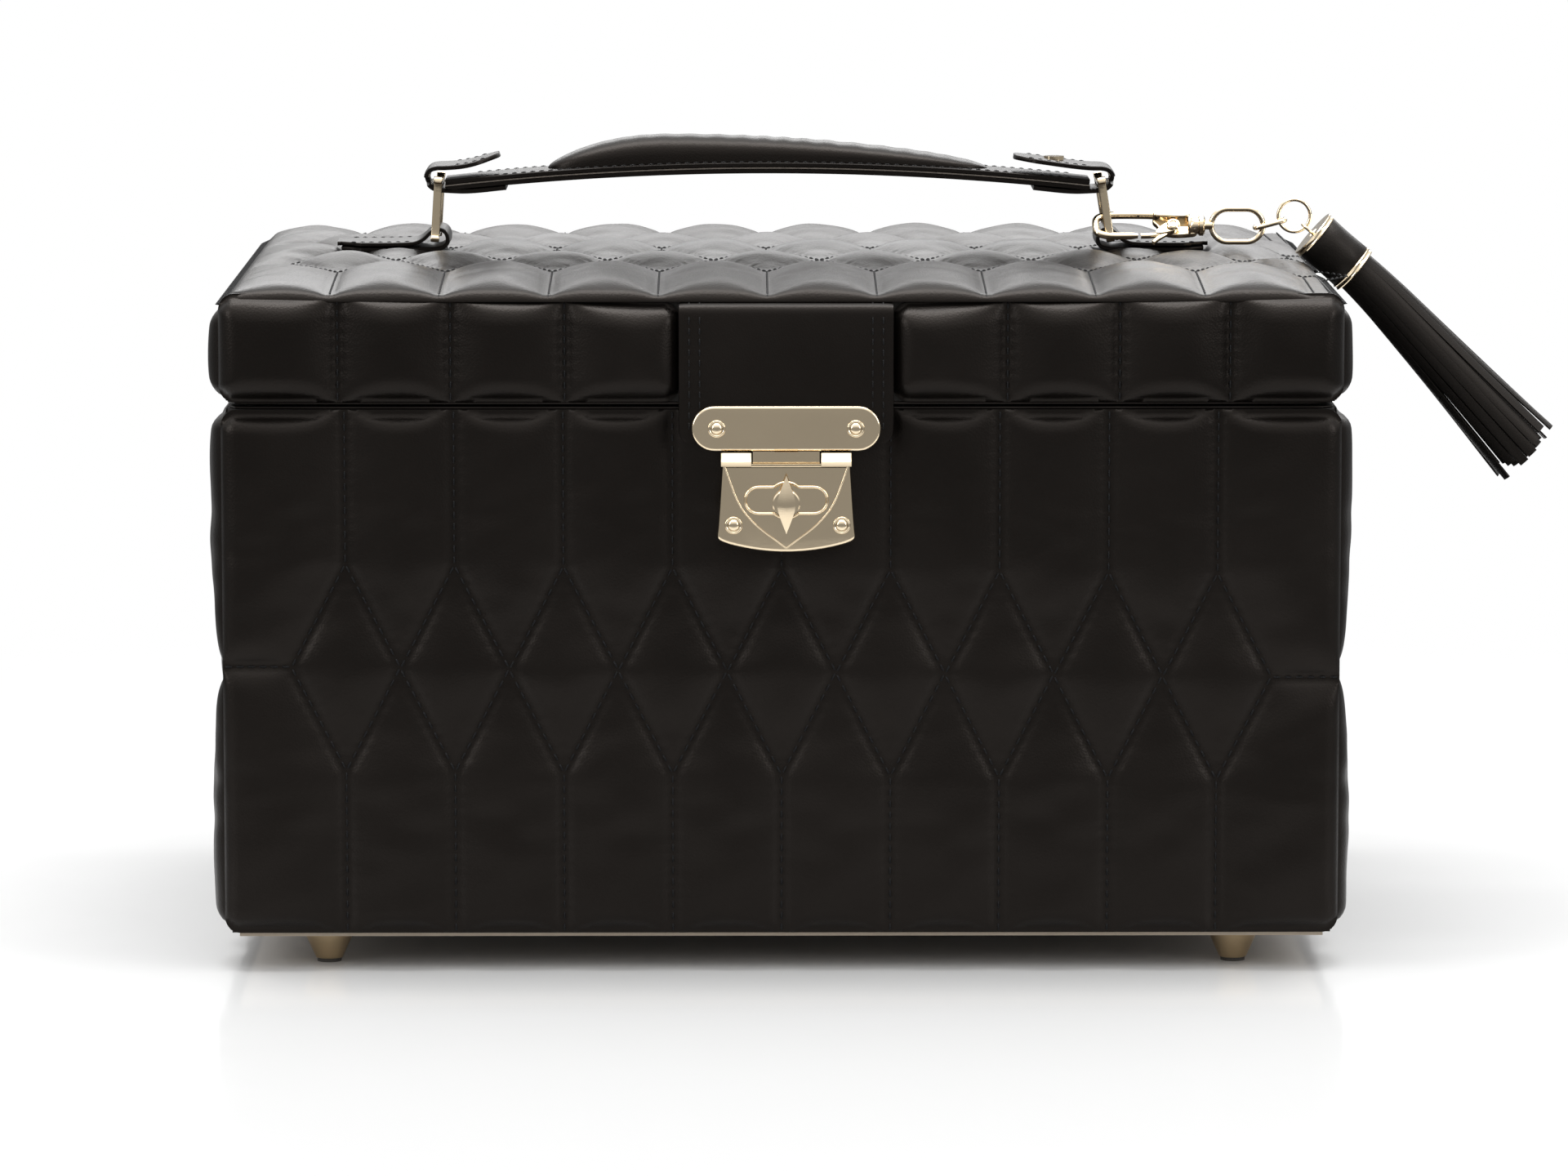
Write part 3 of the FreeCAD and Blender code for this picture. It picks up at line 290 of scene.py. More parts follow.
# %% Metal finishes
def metal(name, colour, rough, drift=0.08, marks=0.00001):
    """Plated metal: slow noise moves the polish, stretched noise gives the wipe marks."""
    finish = Finish(name, colour, Metallic=1.0)
    slow = finish.noise(90, 3)
    wiped = finish.node("ShaderNodeMapping", {}, {"Vector": finish.place, "Scale": (1, 1, 7)})
    wipe = finish.node("ShaderNodeTexNoise", {}, {"Vector": wiped, "Scale": 420.0, "Detail": 4.0})
    finish.set(Roughness=rough + slow * drift)
    deeper = [level * 0.9 for level in colour]
    finish.set(Base_Color=finish.mix(slow, colour, deeper))
    finish.bump(wipe, marks)
    return finish.done()


pale_gold = metal("pale gold", (0.80, 0.665, 0.47), 0.07)
satin_gold = metal("satin gold", (0.62, 0.48, 0.30), 0.30, 0.12, 0.00002)
hinge_brass = metal("hinge brass", (0.74, 0.58, 0.33), 0.2)

# %% [markdown]
# ## Lining, board, rubber and glass
# The inside is covered with a suede-like cloth. Its short pile scatters light at grazing angles,
# which sheen gives, and strokes of the hand leave lighter and darker patches.

# %% Soft and plain finishes
def suede(name, colour):
    """Brushed pile: slow patches of light and dark under a fine fibre bump, with sheen."""
    finish = Finish(name, colour, Roughness=0.92, Sheen_Weight=0.45, Sheen_Roughness=0.5)
    stroke = finish.noise(35, 3)
    fibre = finish.noise(2600, 3, 0.7)
    darker = [level * 0.72 for level in colour]
    finish.set(Base_Color=finish.mix(stroke * 0.7 + fibre * 0.3, darker, colour))
    finish.bump(fibre, 0.00015)
    return finish.done()


def fibreboard():
    finish = Finish("black fibreboard", (0.012, 0.01, 0.009), Roughness=0.85)
    speck = finish.noise(700, 4, 0.7)
    finish.set(Base_Color=finish.mix(speck, (0.007, 0.006, 0.005), (0.02, 0.017, 0.014)))
    finish.bump(speck, 0.0001)
    return finish.done()


def rubber():
    finish = Finish("foot rubber", (0.03, 0.026, 0.022), Roughness=0.75)
    grain = finish.noise(1500, 2)
    finish.set(Base_Color=finish.mix(grain, (0.02, 0.018, 0.015), (0.05, 0.043, 0.036)))
    finish.bump(grain, 0.00004)
    return finish.done()


def silvered_glass():
    finish = Finish("silvered glass", (0.86, 0.88, 0.89), Metallic=1.0)
    finish.set(Roughness=finish.noise(60, 3) * 0.05)
    return finish.done()


lining_suede = suede("lining suede", (0.36, 0.27, 0.2))
cover_suede = suede("cover suede", (0.5, 0.42, 0.33))
board = fibreboard()
foot_rubber = rubber()
mirror_glass = silvered_glass()

slot_finish = {
    "panel_leather": panel_leather, "strap_leather": strap_leather, "tassel_leather": tassel_leather,
    "pale_gold": pale_gold, "hinge_brass": hinge_brass, "foot_metal": satin_gold,
    "foot_rubber": foot_rubber, "board": board, "lining_suede": lining_suede,
    "cover_suede": cover_suede, "mirror_glass": mirror_glass,
}

# %% Finish every carried-over node
for row in frame["record"]["subparts"]:
    node = frame["nodes"][row["node"]]
    node.data.materials.clear()
    node.data.materials.append(slot_finish[row["material_slot"]])
print(len(frame["nodes"]), "CAD nodes have their finish")

# %% Floor
floor_finish = Finish("pale floor", (0.52, 0.52, 0.52), Roughness=0.1, Specular_IOR_Level=0.35)
floor_grain = floor_finish.noise(40, 2)
floor_finish.set(Roughness=0.09 + floor_grain * 0.05)
fade_start, fade_end = 0.24, 0.66
floor_reach = floor_finish.node("ShaderNodeVectorMath", {"operation": "LENGTH"},
                                {0: floor_finish.place}, 1)
floor_fade = floor_finish.node("ShaderNodeMapRange", {"interpolation_type": "SMOOTHSTEP"},
                               {"Value": floor_reach, "From Min": fade_start, "From Max": fade_end})
floor_clear = floor_finish.node("ShaderNodeBsdfTransparent", {}, {})
floor_solid = Wire(floor_finish, floor_finish.shader.outputs["BSDF"])
floor_mixed = floor_finish.node("ShaderNodeMixShader", {}, {0: floor_fade, 1: floor_solid, 2: floor_clear})
floor_output = floor_finish.tree.nodes["Material Output"]
floor_finish.tree.links.new(floor_mixed.socket, floor_output.inputs["Surface"])
floor_radius, floor_sides, floor_shift = 0.9, 96, 0.25
floor_turn = np.arange(floor_sides) * 2 * np.pi / floor_sides
floor_rim = np.stack([floor_radius * np.cos(floor_turn), floor_shift + floor_radius * np.sin(floor_turn),
                      0 * floor_turn], 1)
floor_data = bpy.data.meshes.new("floor")
floor_data.from_pydata(floor_rim.tolist(), [], [list(range(floor_sides))])
floor = bpy.data.objects.new("floor", floor_data)
floor_data.materials.append(floor_finish.done())
bpy.context.scene.collection.objects.link(floor)

# %% [markdown]
# ## Surfaces from grids
# Every new piece is a grid of points, worked out in millimetres as a whole array. Neighbouring points
# make the faces. A closed grid wraps round like a tube, and its ends take a cap.

# %% Grid helpers
def box_mm(node):
    """A CAD node's lowest and highest corner in millimetres."""
    return [np.array(corner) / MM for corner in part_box(node)]


def skin(points, wrap=False, loop=False):
    """Corners and faces of a grid, rows by columns. Columns close with wrap, rows with loop."""
    rows, columns = points.shape[:2]
    index = np.arange(rows * columns).reshape(rows, columns)
    across = np.hstack([index, index[:, :1]]) if wrap else index
    down = np.vstack([across, across[:1]]) if loop else across
    faces = np.stack([down[:-1, :-1], down[:-1, 1:], down[1:, 1:], down[1:, :-1]], -1)
    faces = faces.reshape(-1, 4).tolist()
    if wrap and not loop:
        faces += [index[0, ::-1].tolist(), index[-1].tolist()]
    return points.reshape(-1, 3), faces


def together(shapes):
    """Several shapes as one, with the corners renumbered."""
    points = []
    faces = []
    count = 0
    for corners, sides in shapes:
        points.append(corners)
        faces += [[number + count for number in side] for side in sides]
        count += len(corners)
    return np.vstack(points), faces


def piece(name, shape, finish, body, replaces=(), crease=35):
    """A finished piece: its faces point outwards, it shades smooth and it rides on its body."""
    points, faces = shape
    mesh = bpy.data.meshes.new(name)
    mesh.from_pydata((points * MM).tolist(), [], faces)
    shell = bmesh.new()
    shell.from_mesh(mesh)
    bmesh.ops.remove_doubles(shell, verts=shell.verts, dist=1e-7)
    bmesh.ops.recalc_face_normals(shell, faces=shell.faces)
    shell.to_mesh(mesh)
    shell.free()
    mesh.shade_smooth()
    mesh.set_sharp_from_angle(angle=math.radians(crease))
    mesh.materials.append(finish)
    item = bpy.data.objects.new(name, mesh)
    bpy.context.scene.collection.objects.link(item)
    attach(item, body)
    if replaces:
        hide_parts(*replaces)
    return item


# %% [markdown]
# ## Quilting
# A quilted panel is foam under leather, sewn down along seams. Between the seams the leather swells
# into pillows. Each panel is a flat sheet whose seam points are held while air pressure lifts the
# rest, and the cloth is cut slightly large, so that it puckers beside the stitches. The lifted heights
# are then read on a finer grid, where a narrow channel is pressed along every seam.

# %% Seam distances
def to_seams(across, up, seams):
    """For each point: its distance to the nearest seam, and how far along that seam it lies."""
    nearest = np.full(across.shape, 1e3)
    along = np.zeros(across.shape)
    for start, end in seams:
        start = np.array(start, float)
        run = np.array(end, float) - start
        length = np.hypot(*run)
        share = ((across - start[0]) * run[0] + (up - start[1]) * run[1]) / length**2
        share = np.clip(share, 0, 1)
        gap = np.hypot(across - start[0] - share * run[0], up - start[1] - share * run[1])
        closer = gap < nearest
        along = np.where(closer, share * length, along)
        nearest = np.minimum(nearest, gap)
    return nearest, along


# %% Cloth under pressure
def inflate(across, up, held, pressure=7.0, spare=0.012):
    """Heights of a sheet that is held where held is 1 and lifted by pressure elsewhere.
    The sheet is simulated ten times life size and has a spare share of extra cloth."""
    scale = 0.01
    rows, columns = held.shape
    points = np.stack([across, up, 0.2 * (1 - held)], -1).reshape(-1, 3) * scale
    corners, faces = skin(points.reshape(rows, columns, 3))
    mesh = bpy.data.meshes.new("sheet")
    mesh.from_pydata(corners.tolist(), [], faces)
    sheet = bpy.data.objects.new("sheet", mesh)
    bpy.context.scene.collection.objects.link(sheet)
    group = sheet.vertex_groups.new(name="sewn")
    weights = held.ravel()
    levels = 8
    for level in range(1, levels + 1):
        chosen = np.nonzero(np.ceil(weights * levels) == level)[0]
        group.add(chosen.tolist(), level / levels, "REPLACE")
    cloth = sheet.modifiers.new("cloth", "CLOTH")
    settings = cloth.settings
    settings.quality = 4
    settings.tension_stiffness = 15
    settings.compression_stiffness = 15
    settings.bending_stiffness = 6
    settings.air_damping = 2
    settings.vertex_group_mass = "sewn"
    settings.use_pressure = True
    settings.uniform_pressure_force = pressure
    settings.shrink_min = -spare
    settings.effector_weights.gravity = 0
    cloth.collision_settings.use_collision = False
    for step in range(1, 19):
        bpy.context.scene.frame_set(step)
    lifted = sheet.evaluated_get(bpy.context.evaluated_depsgraph_get())
    flat = np.zeros(len(corners) * 3, np.float32)
    lifted.data.vertices.foreach_get("co", flat)
    bpy.data.objects.remove(sheet)
    bpy.data.meshes.remove(mesh)
    bpy.context.scene.frame_set(1)
    return relaxed(flat.reshape(rows, columns, 3)[..., 2] / scale, held)


def relaxed(height, held, passes=5):
    """Averages each height with its four neighbours, except where the leather is sewn down, as the
    foam's own stiffness does to small wrinkles."""
    for _ in range(passes):
        wide = np.pad(height, 1, mode="edge")
        mean = (wide[:-2, 1:-1] + wide[2:, 1:-1] + wide[1:-1, :-2] + wide[1:-1, 2:]) / 4
        height = height + (mean - height) * 0.7 * (1 - held)
    return height


def soft_rise(distance, reach):
    """A rise from 0 at a seam that is steep first and level at its reach: sqrt(1 - (1 - d/r)^2)."""
    left = 1 - np.clip(distance / reach, 0, 1)
    return np.sqrt(1 - left * left)


# %% Finer grid
def cubic_weights(coarse, fine):
    """A matrix that reads values on an even coarse line at fine places, by Catmull-Rom cubics."""
    step = coarse[1] - coarse[0]
    place = (fine - coarse[0]) / step
    first = np.clip(np.floor(place).astype(int), 0, len(coarse) - 2)
    t = place - first
    shares = [-0.5 * t + t**2 - 0.5 * t**3, 1 - 2.5 * t**2 + 1.5 * t**3,
              0.5 * t + 2 * t**2 - 1.5 * t**3, -0.5 * t**2 + 0.5 * t**3]
    matrix = np.zeros((len(fine), len(coarse)))
    for offset, share in zip((-1, 0, 1, 2), shares):
        column = np.clip(first + offset, 0, len(coarse) - 1)
        np.add.at(matrix, (np.arange(len(fine)), column), share)
    return matrix


def pressed(height, across, up, area, level, slope=0.55):
    """Heights kept under a level inside a rectangle, with a slope of leather round it."""
    (left, right), (low, high) = area
    outside = np.hypot(np.maximum(np.maximum(left - across, across - right), 0),
                       np.maximum(np.maximum(low - up, up - high), 0))
    ceiling = level + slope * outside
    blend = np.clip(0.5 + (height - ceiling) / 1.2, 0, 1)
    softened = height + (ceiling - height) * blend
    return np.minimum(np.minimum(softened, height), ceiling)


# %% [markdown]
# A panel lies in its own frame: across, up and out of the board. The same function makes every one,
# from its outline, its seams and how full its foam is. Its rim rolls back to the board, and its back
# is flat, so it is a closed cushion.

# %% Frames
class Frame:
    """An origin and three directions, which turn (a, b, c) distances in millimetres into points."""

    def __init__(self, origin, a, b, c):
        self.origin = np.array(origin, float)
        self.axes = np.array([a, b, c], float)

    def at(self, a, b, c):
        local = np.stack(np.broadcast_arrays(a, b, c), -1).astype(float)
        return self.origin + local @ self.axes


# %% Quilted panel
pitch = 31.2
coarse_step = 2.0
corner_radius = 4.5
stitch_pitch = 3.3


class Panel:
    """A quilted panel: the height of its leather over a fine grid."""

    def __init__(self, name, frame, width, height, seams, crest, fine_step, roll=4.5, spill=5,
                 camber=None, presses=(), scallop=0.0, stretch=None):
        self.name, self.frame, self.seams = name, frame, seams
        self.stretch = stretch or (lambda across: 0.0)
        rng = np.random.default_rng(len(name) + int(width[1] - width[0]))
        self.across = np.linspace(*width, int((width[1] - width[0]) / fine_step) + 1)
        self.up = np.linspace(*height, int((height[1] - height[0]) / fine_step) + 1)
        x, y = np.meshgrid(self.across, self.up)
        seam, along = to_seams(x, y, seams)
        low_dip, high_dip = (self.dip(x, level, scallop) for level in height)
        beside = np.minimum(x - width[0], width[1] - x)
        above = np.minimum(y - height[0] - low_dip, height[1] - high_dip - y)
        rim = np.minimum(beside, above)
        near = (beside < corner_radius) & (above < corner_radius)
        reach = np.hypot(corner_radius - beside, corner_radius - above)
        rim = np.where(near, corner_radius - reach, rim)
        swell = self.swell(width, height, spill, x, y, seam)
        channel = 1 - np.exp(-(seam / 1.5) ** 2)
        pucker = 0.11 * np.exp(-seam / 1.7) * np.cos(2 * np.pi * along / stitch_pitch)
        ripple = self.ripples(rng, x, y) * np.clip(seam / 6, 0, 1)
        sewn = 0.17 * crest
        pillow = (crest - sewn) * swell * (0.35 + 0.65 * channel) * (1 + ripple)
        rise = (sewn + pillow) - 0.3 * (1 - channel)
        rise = rise + pucker
        edge = soft_rise(np.maximum(rim, 0), roll)
        self.height = 0.7 + np.maximum(rise - 0.7, 0) * edge
        if camber is not None:
            self.height = self.height + camber(x, y) * soft_rise(rim, 2.5)
        for area, level in presses:
            self.height = pressed(self.height, x, y, area, level)

    def dip(self, x, level, scallop):
        """How far the pillows draw back from a rim: nothing at a seam that ends there, and the whole
        scallop between two seams, as 1 - exp(-(d / 6)^2) of the distance d to the nearest."""
        ends = [end[0] for seam in self.seams for end in seam if abs(end[1] - level) < 0.01]
        if not ends or not scallop:
            return np.zeros(x.shape)
        gap = np.min(np.abs(x[..., None] - np.array(ends)), axis=-1)
        return scallop * (1 - np.exp(-(gap / 6) ** 2))

    def cornered(self, x, y):
        """The grid with its square corners drawn in to quarter circles, by the square-to-disc rule
        u' = u sqrt(1 - v^2 / 2) of the shares u and v that a point lies into the corner."""
        middle = [(line[0] + line[-1]) / 2 for line in (self.across, self.up)]
        half = [(line[-1] - line[0]) / 2 for line in (self.across, self.up)]
        sides = [np.sign(value - centre) for value, centre in zip((x, y), middle)]
        into = [np.clip(1 - (reach - np.abs(value - centre)) / corner_radius, 0, 1)
                for value, centre, reach in zip((x, y), middle, half)]
        shift = [own * (1 - np.sqrt(1 - other**2 / 2)) * corner_radius
                 for own, other in (into, into[::-1])]
        return x - sides[0] * shift[0], y - sides[1] * shift[1]

    def raised(self, a, b):
        """A point's place up the panel after the stretch, which grows from the foot to the head."""
        share = (b - self.up[0]) / (self.up[-1] - self.up[0])
        return b + self.stretch(a) * share

    def swell(self, width, height, spill, x, y, seam):
        """The pillows' fullness from 0 to about 1. The simulated sheet spills past the panel's rim."""
        count = [int((side[1] - side[0] + 2 * spill) / coarse_step) + 1 for side in (width, height)]
        across = np.linspace(width[0] - spill, width[1] + spill, count[0])
        up = np.linspace(height[0] - spill, height[1] + spill, count[1])
        cx, cy = np.meshgrid(across, up)
        gap, _ = to_seams(cx, cy, self.seams)
        rim = np.minimum(np.minimum(cx - across[0], across[-1] - cx),
                         np.minimum(cy - up[0], up[-1] - cy))
        held = np.clip(1.7 - np.minimum(gap, rim) / 1.1, 0, 1)
        lifted = inflate(cx, cy, held)
        fine = cubic_weights(up, self.up) @ lifted @ cubic_weights(across, self.across).T
        return np.clip(fine / np.percentile(lifted, 96), 0, 1.25)

    def ripples(self, rng, x, y):
        """Slow unevenness of hand-stuffed foam: a sum of a few seeded waves, a few percent high."""
        total = np.zeros(x.shape)
        for _ in range(6):
            turn, phase = rng.uniform(0, 2 * np.pi, 2)
            wave = rng.uniform(14, 46)
            total += np.sin((x * np.cos(turn) + y * np.sin(turn)) * 2 * np.pi / wave + phase)
        return 0.022 * total

    def height_at(self, a, b):
        """The leather's height at points, read between grid points."""
        across, up = self.across, self.up
        column = np.clip((a - across[0]) / (across[1] - across[0]), 0, len(across) - 1.001)
        row = np.clip((b - up[0]) / (up[1] - up[0]), 0, len(up) - 1.001)
        i, j = row.astype(int), column.astype(int)
        s, t = row - i, column - j
        h = self.height
        return ((1 - s) * ((1 - t) * h[i, j] + t * h[i, j + 1])
                + s * ((1 - t) * h[i + 1, j] + t * h[i + 1, j + 1]))

    def shape(self):
        """The leather's grid, a rim down to the board and a flat back."""
        x, y = self.cornered(*np.meshgrid(self.across, self.up))
        y = self.raised(x, y)
        points, faces = skin(self.frame.at(x, y, self.height))
        rows, columns = x.shape
        index = np.arange(rows * columns).reshape(rows, columns)
        rim = np.concatenate([index[0], index[1:, -1], index[-1, -2::-1], index[-2:0:-1, 0]])
        back = self.frame.at(x.ravel()[rim], y.ravel()[rim], 0.05)
        back_index = np.arange(len(rim)) + len(points)
        walls = np.stack([rim, np.roll(rim, -1), np.roll(back_index, -1), back_index], -1)
        return np.vstack([points, back]), faces + walls.tolist() + [back_index[::-1].tolist()]

    def build(self, body, node, fill=0.75):
        made = piece(self.name, self.shape(), panel_leather, body, [node], 70)
        print(self.name, "faces", len(made.data.polygons), "highest", round(float(self.height.max()), 2))


# %% [markdown]
# ## Stitches
# Each stitch is a short bead of thread whose ends dive into the leather. There are thousands, so one
# bead has few faces, and whole rows are worked out at once.

# %% Stitch beads
def beads(starts, ends, normals, radius=0.3, dive=0.32):
    """A closed bead from each start to each end: radius r (1 - t^4)^0.5, sunk by t^2 at its ends."""
    rings = np.array([-1, -0.72, 0, 0.72, 1])
    sides = np.arange(6) * np.pi / 3
    thick = radius * np.sqrt(1.04 - rings**4)
    run = (ends - starts) / 2
    length = np.linalg.norm(run, axis=1, keepdims=True)
    lift = normals / np.linalg.norm(normals, axis=1, keepdims=True)
    side = np.cross(run / length, lift)
    middle = (starts + ends) / 2
    core = middle[:, None] + run[:, None] * rings[:, None] - lift[:, None] * (dive * rings**2)[:, None]
    round_part = (side[:, None, None] * np.cos(sides)[:, None]
                  + lift[:, None, None] * np.sin(sides)[:, None]) * thick[:, None, None]
    points = (core[:, :, None] + round_part).reshape(-1, 3)
    _, faces = skin(np.zeros((len(rings), len(sides), 3)), wrap=True)
    per_bead = len(rings) * len(sides)
    every = [[number + per_bead * bead for number in face]
             for bead in range(len(starts)) for face in faces]
    return points, every


def along_line(start, end, step, share=0.7):
    """Starts and ends of even stitches on a straight seam, as two arrays of plane points."""
    start, end = np.array(start, float), np.array(end, float)
    length = np.linalg.norm(end - start)
    count = max(1, int(round(length / step)))
    middles = (np.arange(count) + 0.5) / count
    half = share * 0.5 / count
    return [start + np.outer(middles + part, end - start) for part in (-half, half)]


def panel_stitches(panel, body):
    """Thread in every seam of a panel, laid on its leather."""
    rows = [along_line(start, end, stitch_pitch) for start, end in panel.seams]
    starts, ends = (np.vstack(part) for part in zip(*rows))
    low, high = panel.up[0] + 0.8, panel.up[-1] - 0.8
    middle = (starts[:, 1] + ends[:, 1]) / 2
    kept = (middle > low) & (middle < high)
    lines = []
    for plane in (starts[kept], ends[kept]):
        height = panel.height_at(plane[:, 0], plane[:, 1]) + 0.16
        lines.append(panel.frame.at(plane[:, 0], panel.raised(plane[:, 0], plane[:, 1]), height))
    normals = np.tile(panel.frame.axes[2], (kept.sum(), 1))
    piece(panel.name + "_thread", beads(*lines, normals), waxed_thread, body)


# %% [markdown]
# ## The body's pattern
# Vertical seams run down from the rim, open into one row of tall diamonds, and close again below.
# Hand marking leaves the front's row of diamonds a little lower on the right.

# %% Seams of the body and lid
def lattice(places, low, high, rows, tilt=0.0, ends=()):
    """Seams through a row of places: upright runs that open into diamonds. Each row is the middle and
    half height of its diamonds, from the lowest to the highest. ends carries the pattern's middle
    line out to the two sides of the panel."""
    half = pitch / 2
    seams = []
    for place in places:
        drop = -tilt * place
        below = low
        for middle, tall in rows:
            foot, head, centre = middle - tall + drop, middle + tall + drop, middle + drop
            seams.append(((place, below), (place, foot)))
            for side in (-half, half):
                seams.append(((place, foot), (place + side, centre)))
                seams.append(((place + side, centre), (place, head)))
            below = head
        seams.append(((place, below), (place, high)))
    for end, place in ends:
        for middle, _ in rows:
            seams.append(((end, middle - tilt * place), (place, middle - tilt * place)))
    return seams


def columns(count, middle=0.0, step=pitch):
    """Even places about a middle."""
    return [middle + (number - (count - 1) / 2) * step for number in range(count)]


board_low, board_high = box_mm("base_back_board")
lid_low = box_mm("lid_back_board")[0]
side_low, side_high = box_mm("base_left_skin")
front_low, front_high = box_mm("base_front_skin")
board_x, board_y = board_high[0], board_high[1]
body_up = (board_low[2], board_high[2])
middle_row = [(86.6, 29.8)]
side_pitch = (side_high[1] - side_low[1]) / 7

front_columns = columns(9)
front_ends = [(front_low[0], front_columns[0] - pitch / 2), (front_high[0], front_columns[-1] + pitch / 2)]
front_seams = lattice(front_columns, *body_up, middle_row, 0.0115, front_ends)
side_columns = columns(6, 0.0, side_pitch)
side_ends = [(side_low[1], side_columns[0] - pitch / 2), (side_high[1], side_columns[-1] + pitch / 2)]
side_seams = lattice(side_columns, *body_up, middle_row, 0.0, side_ends)

# %% Body panels
strap_low, strap_high = box_mm("closure_strap")
plate_low, plate_high = box_mm("lock_plate")
hinge_low = box_mm("hinge_base_leaves")[0]
hinge_x, leaf_half = 95, 15.5
flat_front = -front_low[1] - board_y - 0.05
front_presses = [(((strap_low[0] - 1, strap_high[0] + 1), (strap_low[2] - 2, body_up[1])), flat_front),
                 (((plate_low[0] + 1, plate_high[0] - 1), (plate_low[2] + 1, strap_low[2])), flat_front)]
leaf_spans = [(side * hinge_x - leaf_half, side * hinge_x + leaf_half) for side in (-1, 1)]
back_presses = [((span, (hinge_low[2] - 0.5, body_up[1])), flat_front) for span in leaf_spans]
front_frame = Frame((0, -board_y, 0), (1, 0, 0), (0, 0, 1), (0, -1, 0))
back_frame = Frame((0, board_y, 0), (1, 0, 0), (0, 0, 1), (0, 1, 0))
left_frame = Frame((-board_x, 0, 0), (0, 1, 0), (0, 0, 1), (-1, 0, 0))
right_frame = Frame((board_x, 0, 0), (0, 1, 0), (0, 0, 1), (1, 0, 0))
front_width = (front_low[0], front_high[0])
side_width = (side_low[1], side_high[1])
side_crest = side_high[0] - side_low[0]
front_crest = 4.8

body_panels = [
    (Panel("base_front_quilt", front_frame, front_width, body_up, front_seams, front_crest, 0.9,
           presses=front_presses, scallop=2.2), "base_front_skin"),
    (Panel("base_back_quilt", back_frame, front_width, body_up, front_seams, front_crest, 1.2,
           presses=back_presses, scallop=2.0), "base_back_skin"),
    (Panel("base_left_quilt", left_frame, side_width, body_up, side_seams, side_crest, 1.1, scallop=2.0),
     "base_left_skin"),
    (Panel("base_right_quilt", right_frame, side_width, body_up, side_seams, side_crest, 1.1, scallop=2.0),
     "base_right_skin"),
]
for panel, node in body_panels:
    panel.build("base", node)
    panel_stitches(panel, "base")

# %% [markdown]
# ## The lid
# The lid's sides have plain upright seams, and its top has two rows of diamonds. The top is domed:
# its middle stands higher than its rim. The leather is pressed flat under the straps that hold the
# handle's rings and under the hinges.

# %% Lid sides
lid_up = (lid_low[2] - 0.1, 192.8)
left_front_low, left_front_high = box_mm("lid_front_skin_left")
right_front_low, right_front_high = box_mm("lid_front_skin_right")
lid_crest = -left_front_low[1] - board_y
lid_side_up = (lid_up[0], box_mm("lid_left_skin")[1][2] + 1.2)
lid_hinge_top = box_mm("hinge_lid_leaves")[1][2]
lid_back_presses = [((span, (lid_up[0], lid_hinge_top + 0.5)), flat_front) for span in leaf_spans]


def lid_corner_rise(across):
    """The front's upper edge stands 2.6 mm higher at the corners than beside the strap."""
    return 2.6 * np.clip((np.abs(across) - 40) / 112, 0, 1) ** 0.8


def uprights(places, span):
    """Plain upright seams."""
    return [((place, span[0]), (place, span[1])) for place in places]


left_width = (left_front_low[0] + 0.5, left_front_high[0] + 0.3)
right_width = (right_front_low[0] - 0.3, right_front_high[0] - 0.5)
lid_panels = [
    (Panel("lid_front_quilt_left", front_frame, left_width, lid_up,
           uprights((-126.6, -94.4, -61.9), lid_up), lid_crest, 0.8, 6, 8, scallop=1.2,
           stretch=lid_corner_rise), "lid_front_skin_left"),
    (Panel("lid_front_quilt_right", front_frame, right_width, lid_up,
           uprights((64.5, 96.5, 128), lid_up), lid_crest, 0.8, 6, 8, scallop=1.2,
           stretch=lid_corner_rise), "lid_front_skin_right"),
    (Panel("lid_back_quilt", back_frame, (left_front_low[0], right_front_high[0]), lid_up,
           uprights(columns(9), lid_up), front_crest, 1.1, presses=lid_back_presses, scallop=1.2),
     "lid_back_skin"),
    (Panel("lid_left_quilt", left_frame, side_width, lid_side_up, uprights(side_columns, lid_side_up),
           side_crest, 1.0, 5.5, 7, scallop=1.2), "lid_left_skin"),
    (Panel("lid_right_quilt", right_frame, side_width, lid_side_up, uprights(side_columns, lid_side_up),
           side_crest, 1.0, 5.5, 7, scallop=1.2), "lid_right_skin"),
]

# %% Lid top
roof_low, roof_high = box_mm("lid_top_skin")
roof_half_x, roof_half_y = roof_high[0], roof_high[1]
dome_middle, dome_rim = 5.2, 1.1


def dome(x, y):
    """Height of the seams above the board: highest along the middle, falling to the four edges."""
    across_fall = np.clip((np.abs(x) - 118) / 40, 0, 1) ** 2
    return dome_rim + (dome_middle - dome_rim) * (1 - (y / roof_half_y) ** 2) * (1 - 0.86 * across_fall)


chape_presses = []
for name in ("chape_left", "chape_right"):
    low, high = box_mm(name)
    chape_presses.append((((low[0] - 0.5, high[0] + 0.5), (low[1] - 0.5, high[1] + 0.5)),
                          roof_high[2] - roof_low[2] - 0.08))
roof_seams = lattice(columns(10, -4 + pitch * 0.5), -roof_half_y, roof_half_y, [(-33.5, 29), (33.5, 29)])
roof_frame = Frame((0, 0, roof_low[2]), (1, 0, 0), (0, 1, 0), (0, 0, 1))
roof = Panel("lid_top_quilt", roof_frame, (-roof_half_x, roof_half_x), (-roof_half_y, roof_half_y),
             roof_seams, 3.9, 1.0, 2.6, 1, dome, chape_presses)
lid_panels.append((roof, "lid_top_skin"))
for panel, node in lid_panels:
    panel.build("lid", node)
    panel_stitches(panel, "lid")

# %% [markdown]
# The lid's two end panels are joined to the top by hand, so a row of thick cross stitches runs over
# each upper edge. Each stitch leans a little, as a whip stitch does. The right-hand row leaves a gap
# under the tassel's cap, which comes down close to that edge.

